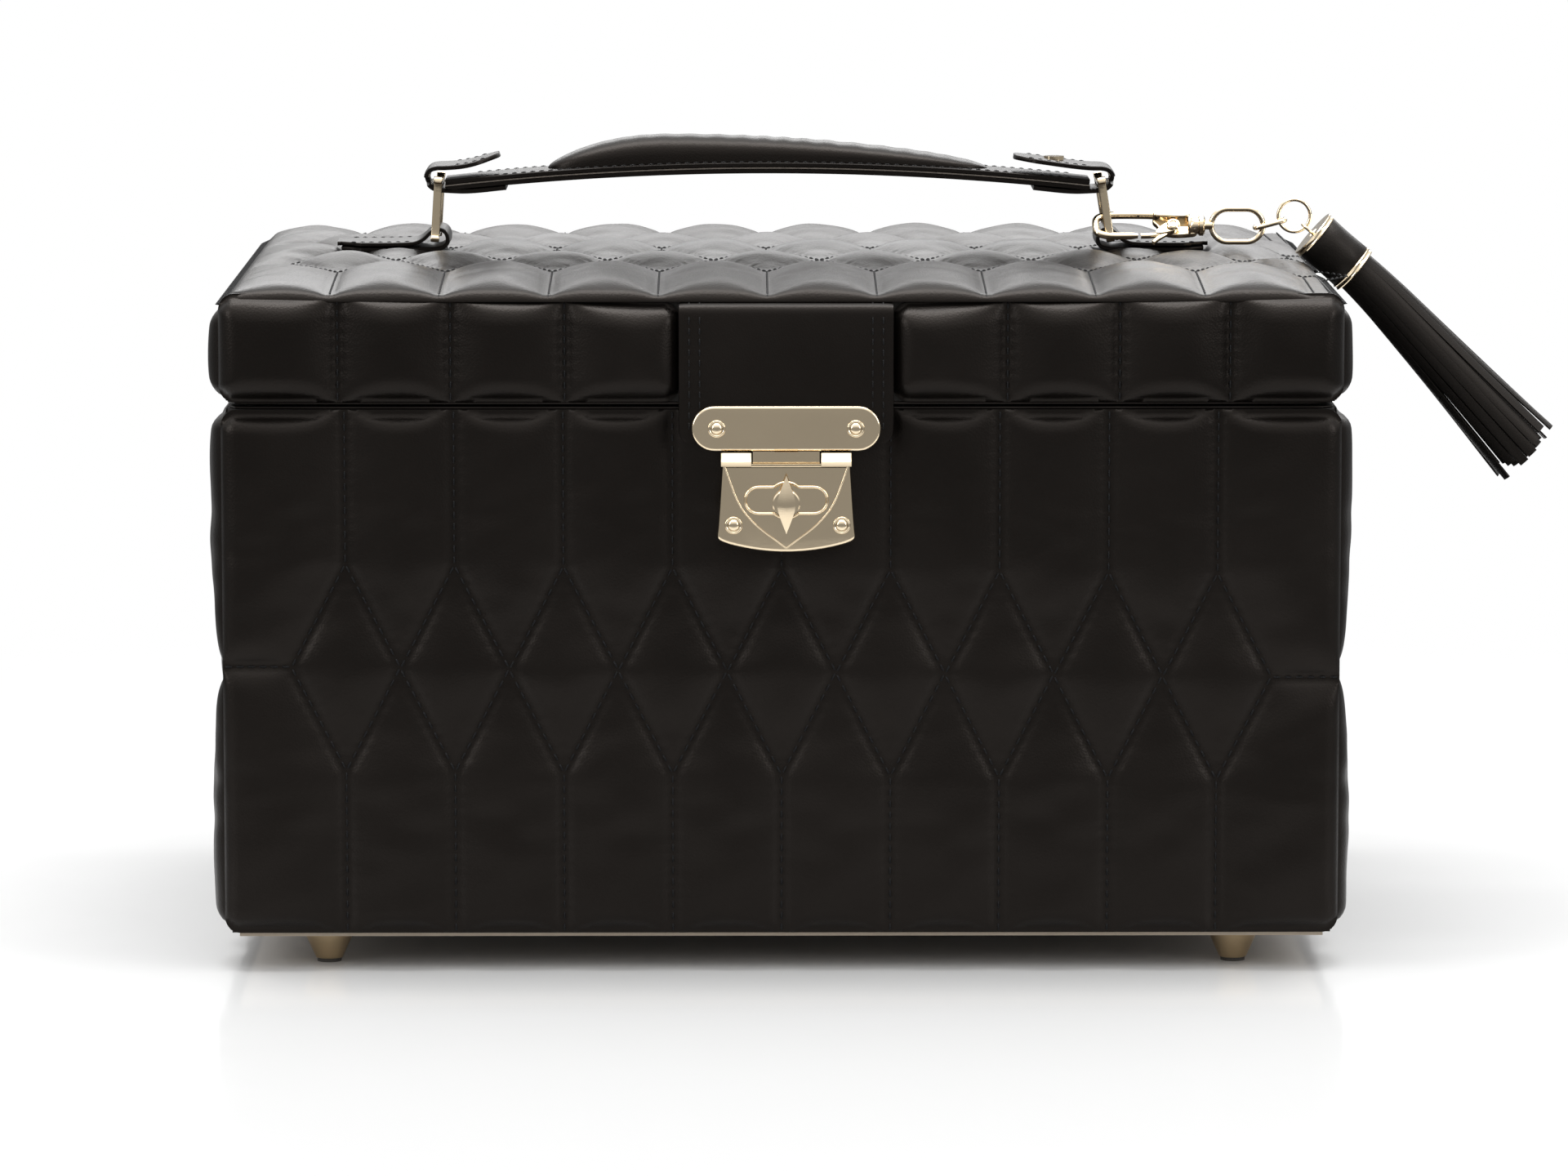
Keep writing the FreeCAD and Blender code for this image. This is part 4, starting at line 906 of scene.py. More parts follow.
# %% Whip stitches
whip_y = np.arange(-roof_half_y + 6, roof_half_y - 6, 4.2)
whips = []
cap_low, cap_high = box_mm("tassel_cap")
cap_gap = 2.2
beside_cap = (whip_y < cap_low[1] - cap_gap) | (whip_y > cap_high[1] + cap_gap)
for side, stops in ((-1, whip_y), (1, whip_y[beside_cap])):
    outer = np.stack([np.full(len(stops), side * (roof_half_x + 3.0)), stops - 1.2,
                      np.full(len(stops), lid_side_up[1] - 0.9)], 1)
    inner = np.stack([np.full(len(stops), side * (roof_half_x - 2.2)), stops + 1.2,
                      np.full(len(stops), roof_low[2] + 1.7)], 1)
    whips.append(beads(outer, inner, np.tile([side * 0.55, 0, 1.0], (len(stops), 1)), 0.62, -0.9))
piece("lid_whip_stitches", together(whips), waxed_thread, "lid")

# %% [markdown]
# ## Bands and plates
# Straps, rings and wires are one thing: a rounded section carried along a flat path. Plates are an
# outline whose rim rolls over, so that light catches the edge. Turned pieces are a profile spun round.

# %% Path helpers
def rounded(points, passes=4, closed=False):
    """Cuts the corners of a path again and again, a quarter in from each end of every side."""
    points = np.array(points, float)
    for _ in range(passes):
        after = np.roll(points, -1, axis=0)
        if not closed:
            after = after[:-1]
        before = points if closed else points[:-1]
        cut = np.stack([before * 0.75 + after * 0.25, before * 0.25 + after * 0.75], 1).reshape(-1, 2)
        points = cut if closed else np.vstack([points[:1], cut, points[-1:]])
    return points


def even(points, step, closed=False):
    """The same path with points an even step apart."""
    if closed:
        points = np.vstack([points, points[:1]])
    gaps = np.hypot(*np.diff(points, axis=0).T)
    place = np.concatenate([[0], np.cumsum(gaps)])
    count = max(4, int(round(place[-1] / step)))
    wanted = np.linspace(0, place[-1], count + 1)
    if closed:
        wanted = wanted[:-1]
    return np.stack([np.interp(wanted, place, points[:, 0]), np.interp(wanted, place, points[:, 1])], 1)


def path_normals(path, closed=False):
    """Unit normals to the left of a path."""
    if closed:
        run = np.roll(path, -1, axis=0) - np.roll(path, 1, axis=0)
    else:
        run = np.gradient(path, axis=0)
    run = run / np.maximum(np.hypot(*run.T), 1e-9)[:, None]
    return np.stack([-run[:, 1], run[:, 0]], 1)


def band(path, half_thick, half_wide, frame, closed=False, power=6, sides=20, shift=0.0):
    """A rounded section along a path in the frame's a-b plane: its thickness lies along the path's
    normal and its width along c. The section is |x|^p + |y|^p = 1, so p = 2 is a round wire."""
    turn = np.arange(sides) * 2 * np.pi / sides
    bend = 2 / power
    thick = np.sign(np.cos(turn)) * np.abs(np.cos(turn)) ** bend
    wide = np.sign(np.sin(turn)) * np.abs(np.sin(turn)) ** bend
    normals = path_normals(path, closed)
    half_thick = np.broadcast_to(half_thick, len(path))[:, None]
    half_wide = np.broadcast_to(half_wide, len(path))[:, None]
    a = path[:, :1] + normals[:, :1] * half_thick * thick
    b = path[:, 1:] + normals[:, 1:] * half_thick * thick
    return skin(frame.at(a, b, shift + half_wide * wide), wrap=True, loop=closed)


def plate(outline, low, high, frame, rim=0.5, steps=5):
    """A plate between two levels along c: the outline's upper rim rolls over by a quarter circle."""
    outward = -path_normals(outline, True)
    if np.sum(outline * outward) < 0:
        outward = -outward
    turn = np.linspace(0, np.pi / 2, steps)
    inset = np.concatenate([[0.0], rim * (1 - np.cos(turn))])
    level = np.concatenate([[low], high - rim + rim * np.sin(turn)])
    a = outline[:, 0] - inset[:, None] * outward[:, 0]
    b = outline[:, 1] - inset[:, None] * outward[:, 1]
    return skin(frame.at(a, b, level[:, None]), wrap=True)


def turned(profile, frame, sides=40):
    """A profile of (radius, height) pairs spun about the frame's c axis."""
    profile = np.array(profile, float)
    turn = np.arange(sides) * 2 * np.pi / sides
    reach, level = profile[:, :1], profile[:, 1:]
    return skin(frame.at(reach * np.cos(turn), reach * np.sin(turn), level), wrap=True)


def row_of_stitches(path, across, frame, step=3.2, lift=0.1, share=0.68, radius=0.26):
    """Stitches along a flat path at a place across the band, lifted along the path's normal."""
    stops = even(path, step)
    normals = path_normals(stops)
    stops = stops + normals * lift
    run = (stops[1:] - stops[:-1]) * (share / 2)
    middle = (stops[1:] + stops[:-1]) / 2
    starts, ends = middle - run, middle + run
    facing = frame.at(*((normals[1:] + normals[:-1]) / 2).T, 0) - frame.origin
    return beads(frame.at(*starts.T, across), frame.at(*ends.T, across), facing, radius, 0.22)


# %% [markdown]
# ## Closure strap
# A smooth strap is sewn to the lid between its front pillows, and the latch bar is riveted to it. Its
# two edges have a double row of stitches.

# %% Closure strap
upright = Frame((0, 0, 0), (0, 1, 0), (0, 0, 1), (1, 0, 0))
strap_middle = (strap_low[0] + strap_high[0]) / 2
strap_half = (strap_high[0] - strap_low[0]) / 2 + 0.15
strap_thick = 1.6
strap_path = even(rounded([(strap_low[1] + strap_thick / 2, strap_low[2] + 0.3),
                           (strap_low[1] + strap_thick / 2, strap_high[2] - 2.4),
                           (strap_low[1] + 2.2, strap_high[2] - 0.8),
                           (strap_high[1] - 0.2, strap_high[2] - 0.8)]), 0.8)
strap_front = strap_path[:, 0] < strap_low[1] + 2
strap_taper = strap_half - 2.4 * np.exp(-(strap_path[:, 1] - strap_low[2]) / 1.1) * strap_front
closure = band(strap_path, strap_thick / 2, strap_taper, upright, power=9, sides=28, shift=strap_middle)
piece("closure_strap_leather", closure, strap_leather, "lid", ["closure_strap"], 50)
face_path = strap_path[(strap_path[:, 1] > strap_low[2] + 3)]
strap_rows = [row_of_stitches(face_path, strap_middle + side * (strap_half - inset), upright, 3.1,
                              strap_thick / 2 + 0.12)
              for side in (-1, 1) for inset in (3.0, 6.0)]
piece("closure_strap_thread", together(strap_rows), waxed_thread, "lid")

# %% [markdown]
# ## Latch bar and lock plate
# The bar is a plate with half-round ends and a polished rolled rim. The shield below it carries the
# turn knob. Its raised lines run from the upper corners to the middle of the lower edge, and a raised
# rim outlines the keyhole-like boss.

# %% Latch bar
facing_front = Frame((0, 0, 0), (1, 0, 0), (0, 0, 1), (0, -1, 0))
bar_low, bar_high = box_mm("latch_bar")
bar_middle = (bar_low + bar_high) / 2
bar_half, bar_tall = (bar_high[0] - bar_low[0]) / 2, (bar_high[2] - bar_low[2]) / 2


def stadium(x, z, half, tall, count=25):
    """The outline of a bar with half-round ends."""
    turn = np.linspace(-np.pi / 2, np.pi / 2, count)
    right = np.stack([x + half - tall + tall * np.cos(turn), z + tall * np.sin(turn)], 1)
    left = np.stack([x - half + tall - tall * np.cos(turn), z - tall * np.sin(turn)], 1)
    return np.vstack([right, left])


bar_outline = even(stadium(bar_middle[0], bar_middle[2], bar_half, bar_tall), 0.6, True)
piece("latch_bar_plate", plate(bar_outline, -bar_high[1], -bar_low[1], facing_front, 0.85, 7), pale_gold,
      "lid", ["latch_bar"], 80)

# %% Lock plate
plate_x = (plate_low[0] + plate_high[0]) / 2
half_low, half_top = (plate_high[0] - plate_low[0]) / 2, 18.2
plate_face = 118.2
shoulder = plate_low[2] + 3.3
sweep = np.linspace(-0.86, 0.86, 13)
lower_edge = [(plate_x + half_low * t, plate_low[2] + (shoulder - plate_low[2]) * t * t) for t in sweep]
plate_top = plate_high[2]
corners = [(half_low, shoulder + 0.4), (half_low - 0.5, shoulder + 3.4), (half_top + 0.1, plate_top - 1),
           (half_top, plate_top), (half_top - 1, plate_top)]
right_side = [(plate_x + reach, level) for reach, level in corners]
left_side = [(plate_x - reach, level) for reach, level in corners[::-1]]
shield = even(rounded(lower_edge + right_side + left_side, 3, True), 0.45, True)
knob_low, knob_high = box_mm("lock_knob")
knob_z = (knob_low[2] + knob_high[2]) / 2
boss_turn = np.linspace(0, 2 * np.pi, 120, endpoint=False)
cos_turn, sin_turn = np.cos(boss_turn), np.sin(boss_turn)
boss_half, boss_tall, boss_r, boss_z = 11.7, 3.8, 5.1, knob_z + 0.9
flat_reach = boss_tall / np.maximum(np.abs(sin_turn), 1e-6)
end_middle = boss_half - boss_tall
end_bow = np.sqrt(np.maximum(boss_tall**2 - (end_middle * sin_turn) ** 2, 0))
end_reach = end_middle * np.abs(cos_turn) + end_bow
slot_reach = np.where(flat_reach * np.abs(cos_turn) < end_middle, flat_reach, end_reach)
boss_reach = np.maximum(slot_reach, boss_r)
boss_path = np.stack([plate_x + boss_reach * cos_turn, boss_z + boss_reach * sin_turn], 1)
boss_path = even(rounded(boss_path, 2, True), 0.4, True)
vee_low = (plate_x, plate_low[2] + 1.2)
vees = []
for side in (-1, 1):
    corner = (plate_x + side * (half_top - 0.7), plate_top - 0.7)
    bulge = (plate_x + side * 12.6, knob_z - 3.4)
    vee = even(rounded([corner, bulge, vee_low], 4), 0.5)
    vees.append(band(vee, 0.26, 0.24, facing_front, power=2, sides=10, shift=plate_face))
lock_parts = [
    plate(shield, -plate_high[1], plate_face, facing_front, 0.95, 7),
    band(boss_path, 0.42, 0.55, facing_front, True, 2, 12, plate_face + 0.1),
] + vees
piece("lock_shield", together(lock_parts), pale_gold, "base", ["lock_plate"], 80)

# The shield's upper edge folds back to the case on both sides of the slot that the tongue enters.
fold = even(rounded([(-plate_face - 0.1, plate_top - 0.6), (-plate_face + 0.1, plate_top + 0.3),
                     (-plate_face + 0.7, plate_top + 1.2), (-plate_face + 1.7, bar_low[2] - 0.5)]), 0.3)
slot_half = 9.9
wing_half = (half_top + 0.4 - slot_half) / 2
wing_places = [plate_x + side * (slot_half + wing_half) for side in (-1, 1)]
wings = [band(fold, 0.35, wing_half, upright, power=8, sides=20, shift=place) for place in wing_places]
sill_z = plate_top - 0.1
sill = even(np.array([(plate_x - slot_half, sill_z), (plate_x + slot_half, sill_z)]), 0.6)
wings.append(band(sill, 0.35, 0.5, facing_front, power=4, sides=12, shift=plate_face - 0.35))
piece("lock_lip", together(wings), pale_gold, "base")

# %% Rivets
def rivet_head(x, z, face, radius=2.5):
    """A flared collar with a domed middle set into it."""
    profile = [(radius, 0), (radius, 0.35), (radius * 0.93, 0.55), (radius * 0.8, 0.5),
               (radius * 0.72, 0.22), (radius * 0.66, 0.22), (radius * 0.6, 0.62), (radius * 0.42, 0.86),
               (radius * 0.2, 0.96), (0.01, 0.98)]
    return turned(profile, Frame((x, -face, z), (1, 0, 0), (0, 0, 1), (0, -1, 0)), 32)


bar_face = -bar_low[1]
bar_rivet_reach, lock_rivet_reach = 19.8, 15.4
lock_rivet_x, lock_rivet_z = plate_x + 0.4, 129.9
bar_rivets = [rivet_head(bar_middle[0] + side * bar_rivet_reach, bar_middle[2], bar_face)
              for side in (-1, 1)]
lock_rivets = [rivet_head(lock_rivet_x + side * lock_rivet_reach, lock_rivet_z, plate_face)
               for side in (-1, 1)]
piece("latch_rivet_heads", together(bar_rivets), pale_gold, "lid", ["latch_rivets"], 80)
piece("lock_rivet_heads", together(lock_rivets), pale_gold, "base", ["lock_rivets"], 80)

# %% [markdown]
# ## Turn knob
# The knob is a pointed spindle with four long facets, on a small round foot. Its half width follows a
# curve that is concave near the points, and its section is a diamond.

# %% Knob
knob_half, knob_wide = (knob_high[2] - knob_low[2]) / 2, 2.6
knob_front = -knob_low[1]
length = np.linspace(-1, 1, 41)
slim = (1 - np.abs(length) ** 1.5) ** 1.15 + 0.02
corner_turn = np.arange(4) * np.pi / 2
spindle_frame = Frame((plate_x, -(knob_front - 2.1), knob_z), (1, 0, 0), (0, -1, 0), (0, 0, 1))
knob_deep = 2.05
spindle = skin(spindle_frame.at(knob_wide * slim[:, None] * np.cos(corner_turn),
                                knob_deep * slim[:, None] * np.sin(corner_turn),
                                knob_half * length[:, None]), wrap=True)
foot_face = plate_face + 0.9
foot = turned([(3.9, 0), (4.0, 0.4), (3.6, 0.8), (1.9, 1.0), (1.5, knob_front - foot_face - 2.6)],
              Frame((plate_x, -foot_face, knob_z), (1, 0, 0), (0, 0, 1), (0, -1, 0)), 36)
piece("turn_knob", together([spindle, foot]), pale_gold, "lock_knob", ["lock_knob"], 28)

# %% [markdown]
# ## Feet
# The feet are turned cones with a thin shoulder, each standing on a rubber pad.

# %% Feet
feet_low, feet_high = box_mm("feet")
foot_r = 7.5
foot_x, foot_y = feet_high[0] - foot_r, feet_high[1] - foot_r
foot_profile = [(3.7, feet_low[2]), (3.95, feet_low[2] + 0.2), (7.1, 8.2), (foot_r, 8.7),
                (foot_r, feet_high[2] - 0.05)]
feet = [turned(foot_profile, Frame((x, y, 0), (1, 0, 0), (0, 1, 0), (0, 0, 1)), 40)
        for x in (-foot_x, foot_x) for y in (-foot_y, foot_y)]
piece("foot_cones", together(feet), satin_gold, "base", ["feet"], 50)

# %% [markdown]
# ## Rings and their straps
# Each ring is a flat metal frame with rounded corners. A short strap is folded round its lower bar and
# sewn to the lid, so the fold is a teardrop and the tail ends in a point.

# %% Rings
ring_half, ring_corner = 12.25, 1.7
handle_half = 10.9


def joint_place(joint_name):
    """Where a joint's axis lies, in millimetres."""
    joint = next(joint for joint in frame["joints"] if joint["name"] == joint_name)
    return np.array(joint["pos_m"]) / MM


def flat_ring(name, pivot, top):
    """A band bent to a rounded rectangle in the ring's leaning plane."""
    lean = (top - pivot) / np.linalg.norm(top - pivot)
    side = np.array([lean[2], 0, -lean[0]])
    reach = np.linalg.norm(top - pivot)
    plane = Frame(pivot, (0, 1, 0), lean, side)
    corners = []
    for y, z in ((-ring_half, 0), (ring_half, 0), (ring_half, reach), (-ring_half, reach)):
        toward_y, toward_z = -np.sign(y) * ring_corner, ring_corner if z == 0 else -ring_corner
        first, second = (y + toward_y, z), (y, z + toward_z)
        corners += [first, (y, z), second] if (y > 0) == (z > 0) else [second, (y, z), first]
    path = even(rounded(corners, 3, True), 0.5, True)
    shape = band(path, 0.5, 1.25, plane, True, 5, 16)
    piece(name + "_band", shape, pale_gold, name, [name], 60)


left_pivot, right_pivot = joint_place("ring_left_tilt"), joint_place("ring_right_tilt")
left_top = joint_place("handle_swing")
# The handle's right loop turns freely on this bar, so no joint marks its place.
right_top = np.array([95.575, 0, 220.97])
flat_ring("ring_left", left_pivot, left_top)
flat_ring("ring_right", right_pivot, right_top)

# %% Ring straps
along_x = Frame((0, 0, 0), (1, 0, 0), (0, 0, 1), (0, 1, 0))


def ring_strap(name, pivot, away):
    """Two layers from the tail to the bar, joined by the fold round it. The tail tapers to its end."""
    floor = box_mm(name)[0][2] + 0.78
    tail = pivot[0] + 28 * away
    x, z = pivot[0], pivot[2]
    corners = [(tail, floor), (x + 6 * away, floor), (x - 2.0 * away, floor + 0.1),
               (x - 4.1 * away, z - 0.6), (x - 3.2 * away, z + 3.0), (x + 0.4 * away, z + 3.5),
               (x + 4.2 * away, floor + 2.1), (x + 9 * away, floor + 1.45),
               (tail + 1.2 * away, floor + 1.5)]
    path = even(rounded(corners), 0.6)
    from_tail = np.abs(path[:, 0] - tail)
    wide = handle_half * np.clip(0.55 + 0.45 * np.clip(from_tail / 6, 0, 1), 0, 1)
    leather_band = band(path, 0.68, wide, along_x, power=7, sides=22)
    piece(name + "_leather", leather_band, strap_leather, "lid", [name], 50)
    upper = path[(path[:, 1] > floor + 1.2) & (from_tail > 2) & (from_tail < 21)]
    if upper[0, 0] > upper[-1, 0]:
        upper = upper[::-1]
    rows = [row_of_stitches(upper, side * (handle_half - 1.9), along_x, 2.8, 0.7, radius=0.2)
            for side in (-1, 1)]
    piece(name + "_thread", together(rows), waxed_thread, "lid")


ring_strap("chape_left", left_pivot, -1)
ring_strap("chape_right", right_pivot, 1)

# %% [markdown]
# ## Handle
# The handle is two layers of flat strap with a paler painted line between them. Its ends fold round
# the rings' upper bars and lie back on top as pointed flaps. A padded grip is sewn along the middle.

# %% Handle strap
strap_ends = (left_top[0] + 2.0, right_top[0] - 3.3)
arch_low, arch_top, layer = 217.0, 222.3, 3.6
arch_half = (strap_ends[1] - strap_ends[0]) / 2
arch_middle = (strap_ends[0] + strap_ends[1]) / 2


def arch(x, lift):
    """Height of the strap's arch, as a parabola between the rings."""
    return arch_top - (arch_top - arch_low) * ((x - arch_middle) / arch_half) ** 2 + lift


handle_x = np.linspace(*strap_ends, 160)
layers = []
for lift, half in ((0.86, 0.84), (2.68, 0.86)):
    layer_path = np.stack([handle_x, arch(handle_x, lift)], 1)
    layers.append(band(layer_path, half, handle_half, along_x, power=7, sides=22))
piece("handle_layers", together(layers), strap_leather, "handle", ["handle_strap"], 50)
core_path = np.stack([handle_x, arch(handle_x, 1.76)], 1)
core = band(core_path, 0.3, 10.98, along_x, power=5, sides=14)
piece("handle_edge_line", core, painted_edge, "handle")

# %% Handle loops
def handle_loop(top, inward, tip):
    """A fold round the ring's upper bar, from under the strap to a flap on top of it."""
    x, z = top[0], top[2]
    start = x + 20 * inward
    corners = [(start, arch(start, -0.6)), (x + 9 * inward, arch(x + 9 * inward, -0.75)),
               (x + 3 * inward, z - 3.9), (x - 1.4 * inward, z - 3.6), (x - 3.6 * inward, z - 1.4),
               (x - 3.7 * inward, z + 1.2), (x - 1.8 * inward, z + 2.9), (x + 3.0 * inward, z + 2.9),
               (x + 9 * inward, z + 3.5), tip]
    path = even(rounded(corners), 0.6)
    from_tip = np.abs(path[:, 0] - tip[0]) * (path[:, 1] > z)
    upper = path[:, 1] > arch(np.clip(path[:, 0], *strap_ends), 2.5)
    pointed = np.clip(0.3 + np.sqrt(np.clip(from_tip / 7, 0, 1)) * 0.72, 0, 1)
    wide = np.where(upper, handle_half * pointed, handle_half)
    return path, band(path, 0.78, wide, along_x, power=7, sides=22)


left_path, left_loop = handle_loop(left_top, 1, (-83.5, 227.6))
right_path, right_loop = handle_loop(right_top, -1, (70.0, 226.9))
piece("handle_flaps", together([left_loop, right_loop]), strap_leather, "handle",
      ["handle_loops"], 50)

# %% Handle stitches
under_grip = handle_x[(handle_x > -92) & (handle_x < 88)]
side_rows = []
for side in (-1, 1):
    line = np.stack([under_grip, arch(under_grip, 3.54)], 1)
    side_rows.append(row_of_stitches(line, side * 9.7, along_x, 2.7, 0.04, radius=0.2))
for path, limit in ((left_path, (-97, -86.5)), (right_path, (73, 92))):
    flap = path[(path[:, 0] > limit[0]) & (path[:, 0] < limit[1]) & (path[:, 1] > 222)]
    flap = flap if flap[0, 0] < flap[-1, 0] else flap[::-1]
    side_rows += [row_of_stitches(flap, side * 9.0, along_x, 2.7, 0.8, radius=0.2)
                  for side in (-1, 1)]
piece("handle_thread", together(side_rows), waxed_thread, "handle")

# %% [markdown]
# The grip is a long leather cushion. Its crest rises quickly at the left and falls slowly to the right,
# and its two ends close to rounded tips. Fine folds cross it where the hand bends the leather.

# %% Grip
grip_low, grip_high = box_mm("handle_grip")
crest_x, crest_z = -33.0, grip_high[2]
left_end_z, right_end_z = 226.8, 225.4
grip_left, grip_right = grip_low[0], grip_high[0]


def grip_top(x):
    """The crest line: level at the highest point, then a parabola down to each end."""
    left = crest_z - (crest_z - left_end_z) * ((x - crest_x) / (grip_left - crest_x)) ** 2
    right = crest_z - (crest_z - right_end_z) * ((x - crest_x) / (grip_right - crest_x)) ** 2
    return np.where(x < crest_x, left, right)


grip_u = np.sin(np.linspace(-np.pi / 2, np.pi / 2, 150))
grip_x = (grip_left + grip_right) / 2 + (grip_right - grip_left) / 2 * grip_u
closing = np.sqrt(np.clip(1 - np.abs(grip_u) ** 9, 0, 1))
seat_z = arch(grip_x, layer)
rise = (grip_top(grip_x) - seat_z) * np.clip(closing, 0.02, 1)
grip_half = 9.4
half_y = grip_half * np.clip(closing, 0.05, 1)
grip_turn = np.linspace(0, np.pi, 25)
crown = np.sin(grip_turn) ** 0.62
creases = 0.16 * np.sin(grip_x * 0.9 + 1.3 * np.sin(grip_x * 0.13)) * np.exp(-((grip_x - 8) / 50) ** 2)
lift = rise[:, None] * crown + creases[:, None] * np.sin(grip_turn) ** 3
round_top = seat_z[:, None] + np.maximum(lift, 0.02)
grip_y = half_y[:, None] * np.sign(np.cos(grip_turn)) * np.abs(np.cos(grip_turn)) ** 0.8
grip_points = np.stack([np.broadcast_to(grip_x[:, None], grip_y.shape), grip_y, round_top], -1)
grip = piece("grip_cushion", skin(grip_points, wrap=True), strap_leather, "handle",
             ["handle_grip"], 60)

# %% [markdown]
# ## Snap clasp
# The clasp hooks round the right ring. Its wire hook is closed by a gate that turns on a rivet, and a
# collar holds the swivel eye. All of it lies in a plane that leans back, in the clasp's own frame.

# %% Clasp
charm_joint = joint_place("eye_swivel")
lean = math.radians(40)
clasp_frame = Frame((0, charm_joint[1], charm_joint[2]), (1, 0, 0), (0, math.cos(lean), math.sin(lean)),
                    (0, -math.sin(lean), math.cos(lean)))
hook_path = even(rounded([(119, 3.4), (112, 4.3), (106, 4.45), (97.5, 4.4), (94.1, 3.0), (93.9, -0.2),
                          (94.2, -3.2), (97.5, -4.5), (103, -4.45), (106.4, -4.35)]), 0.4)
hook_count = len(hook_path)
taper = np.interp(np.arange(hook_count), [0, 20, hook_count - 6, hook_count - 1], [1.5, 1.1, 1.0, 0.72])
hook = band(hook_path, taper, taper * 1.05, clasp_frame, power=2.4, sides=20)
body_corners = [(110.8, 2.6), (111.6, 5.4), (117, 5.9), (121.6, 3.6), (124.4, 2.6), (124.4, -2.6),
                (121.4, -3.0), (117, -3.4), (113.4, -2.2), (112.4, 0.8)]
body_outline = even(rounded(body_corners, 3, True), 0.35, True)
cheek = plate(body_outline, -2.1, -0.55, clasp_frame, 0.35)
spine_corners = [(110.8, 2.3), (111.6, 5.4), (117, 5.9), (122, 4.0), (122, 1.9), (116, 2.1)]
spine_outline = even(rounded(spine_corners, 3, True), 0.35, True)
spine = plate(spine_outline, -2.0, 2.0, clasp_frame, 0.6)
rivet_place = Frame(clasp_frame.at(117, -1, 1.4), *clasp_frame.axes)
rivet_profile = [(2.05, 0), (2.05, 0.45), (1.7, 0.78), (1.15, 0.62), (1.0, 0.3), (0.01, 0.32)]
rivet = turned(rivet_profile, rivet_place, 28)
collar_place = Frame((121.5, charm_joint[1], charm_joint[2]), (0, 1, 0), (0, 0, 1), (1, 0, 0))
collar_profile = [(2.0, -0.4), (2.9, 0), (3.0, 0.5), (2.6, 0.9), (2.6, 2.9), (3.05, 3.3), (3.05, 4.4),
                  (2.4, 4.95), (1.3, 5.0)]
collar = turned(collar_profile, collar_place, 36)
piece("clasp_hook", together([hook, cheek, spine, rivet, collar]), pale_gold, "clasp",
      ["clasp_body"], 45)

# %% Gate
gate_path = even(rounded([(107.3, -4.4), (110.4, -4.35), (113.8, -3.6), (117.6, -1.6)]), 0.4)
gate_wire = band(gate_path, 0.82, 0.8, clasp_frame, power=2.4, sides=16)
web_corners = [(111, -4.9), (118.3, -3.0), (118.7, 0.8), (115.6, 1.0), (112.6, -1.4)]
web_outline = even(rounded(web_corners, 3, True), 0.35, True)
web = plate(web_outline, -0.4, 1.15, clasp_frame, 0.35)
lever_path = even(rounded([(114.6, -3.5), (112.4, -5.4), (110.9, -7.3)]), 0.3)
lever_taper = np.linspace(0.9, 0.55, len(lever_path))
lever = band(lever_path, lever_taper, 0.7, clasp_frame, power=3, sides=14)
piece("clasp_gate_lever", together([gate_wire, web, lever]), pale_gold, "gate",
      ["clasp_gate"], 45)

# %% [markdown]
# The swivel's eye holds a short link, and the link holds a round ring. Both are bent from wire, so each
# is a closed loop with a round section.

# %% Charm links
link_wire_r, charm_ring_r, ring_wire_r = 0.7, 4.8, 0.5


def wire_loop(corners, wire, plane):
    """A closed loop of round wire through a plane outline."""
    return band(even(rounded(corners, 4, True), 0.35, True), wire, wire, plane, True, 2, 14)


link_pull, ring_pull = joint_place("link_swing"), joint_place("charm_ring_swing")
link_box, ring_box = box_mm("charm_link"), box_mm("charm_ring")
link_middle = (link_box[0] + link_box[1]) / 2
ring_middle = (ring_box[0] + ring_box[1]) / 2
rise = math.atan2(ring_pull[2] - link_pull[2], ring_pull[0] - link_pull[0])
link_run = np.array([math.cos(rise), 0, math.sin(rise)])
link_plane = Frame(link_middle, link_run, (0, 1, 0), np.cross(link_run, (0, 1, 0)))
oval = [(-4.6, -1.6), (-3.4, -2.75), (3.4, -2.75), (4.6, -1.6), (4.6, 1.6), (3.4, 2.75), (-3.4, 2.75),
        (-4.6, 1.6)]
link_shape = wire_loop(oval, link_wire_r, link_plane)
piece("charm_link_wire", link_shape, pale_gold, "link", ["charm_link"], 60)
round_turn = np.arange(24) * 2 * np.pi / 24
ring_line = np.stack([charm_ring_r * np.cos(round_turn), charm_ring_r * np.sin(round_turn)], 1)
ring_plane = Frame(ring_middle, (1, 0, 0), (0, 0, 1), (0, -1, 0))
ring_shape = wire_loop(ring_line, ring_wire_r, ring_plane)
piece("charm_ring_wire", ring_shape, pale_gold, "charm_ring", ["charm_ring"], 60)

# %% [markdown]
# ## Tassel
# The cap is a roll of leather between two gold bands. The skirt is a sheet cut into many narrow strips
# and rolled up, so the strips lie in layers, spread a little, and end unevenly.

# %% Tassel cap
pull = joint_place("tassel_swing")
drop = math.radians(41)
down = np.array([math.cos(drop), 0, -math.sin(drop)])
tassel_frame = Frame(pull, (math.sin(drop), 0, math.cos(drop)), (0, 1, 0), down)
cap_top, cap_long, cap_r, gold_band = 2.7, 17.0, 7.5, 1.8
cap_end = cap_top + cap_long
cap = turned([(7.1, cap_top + gold_band - 0.3), (cap_r - 0.1, cap_top + gold_band), (cap_r - 0.25, 9.4),
              (cap_r - 0.2, 13.5), (cap_r - 0.1, cap_end - gold_band), (7.1, cap_end - gold_band + 0.3)],
             tassel_frame, 56)
piece("tassel_cap_leather", cap, tassel_leather, "tassel", ["tassel_cap"], 50)


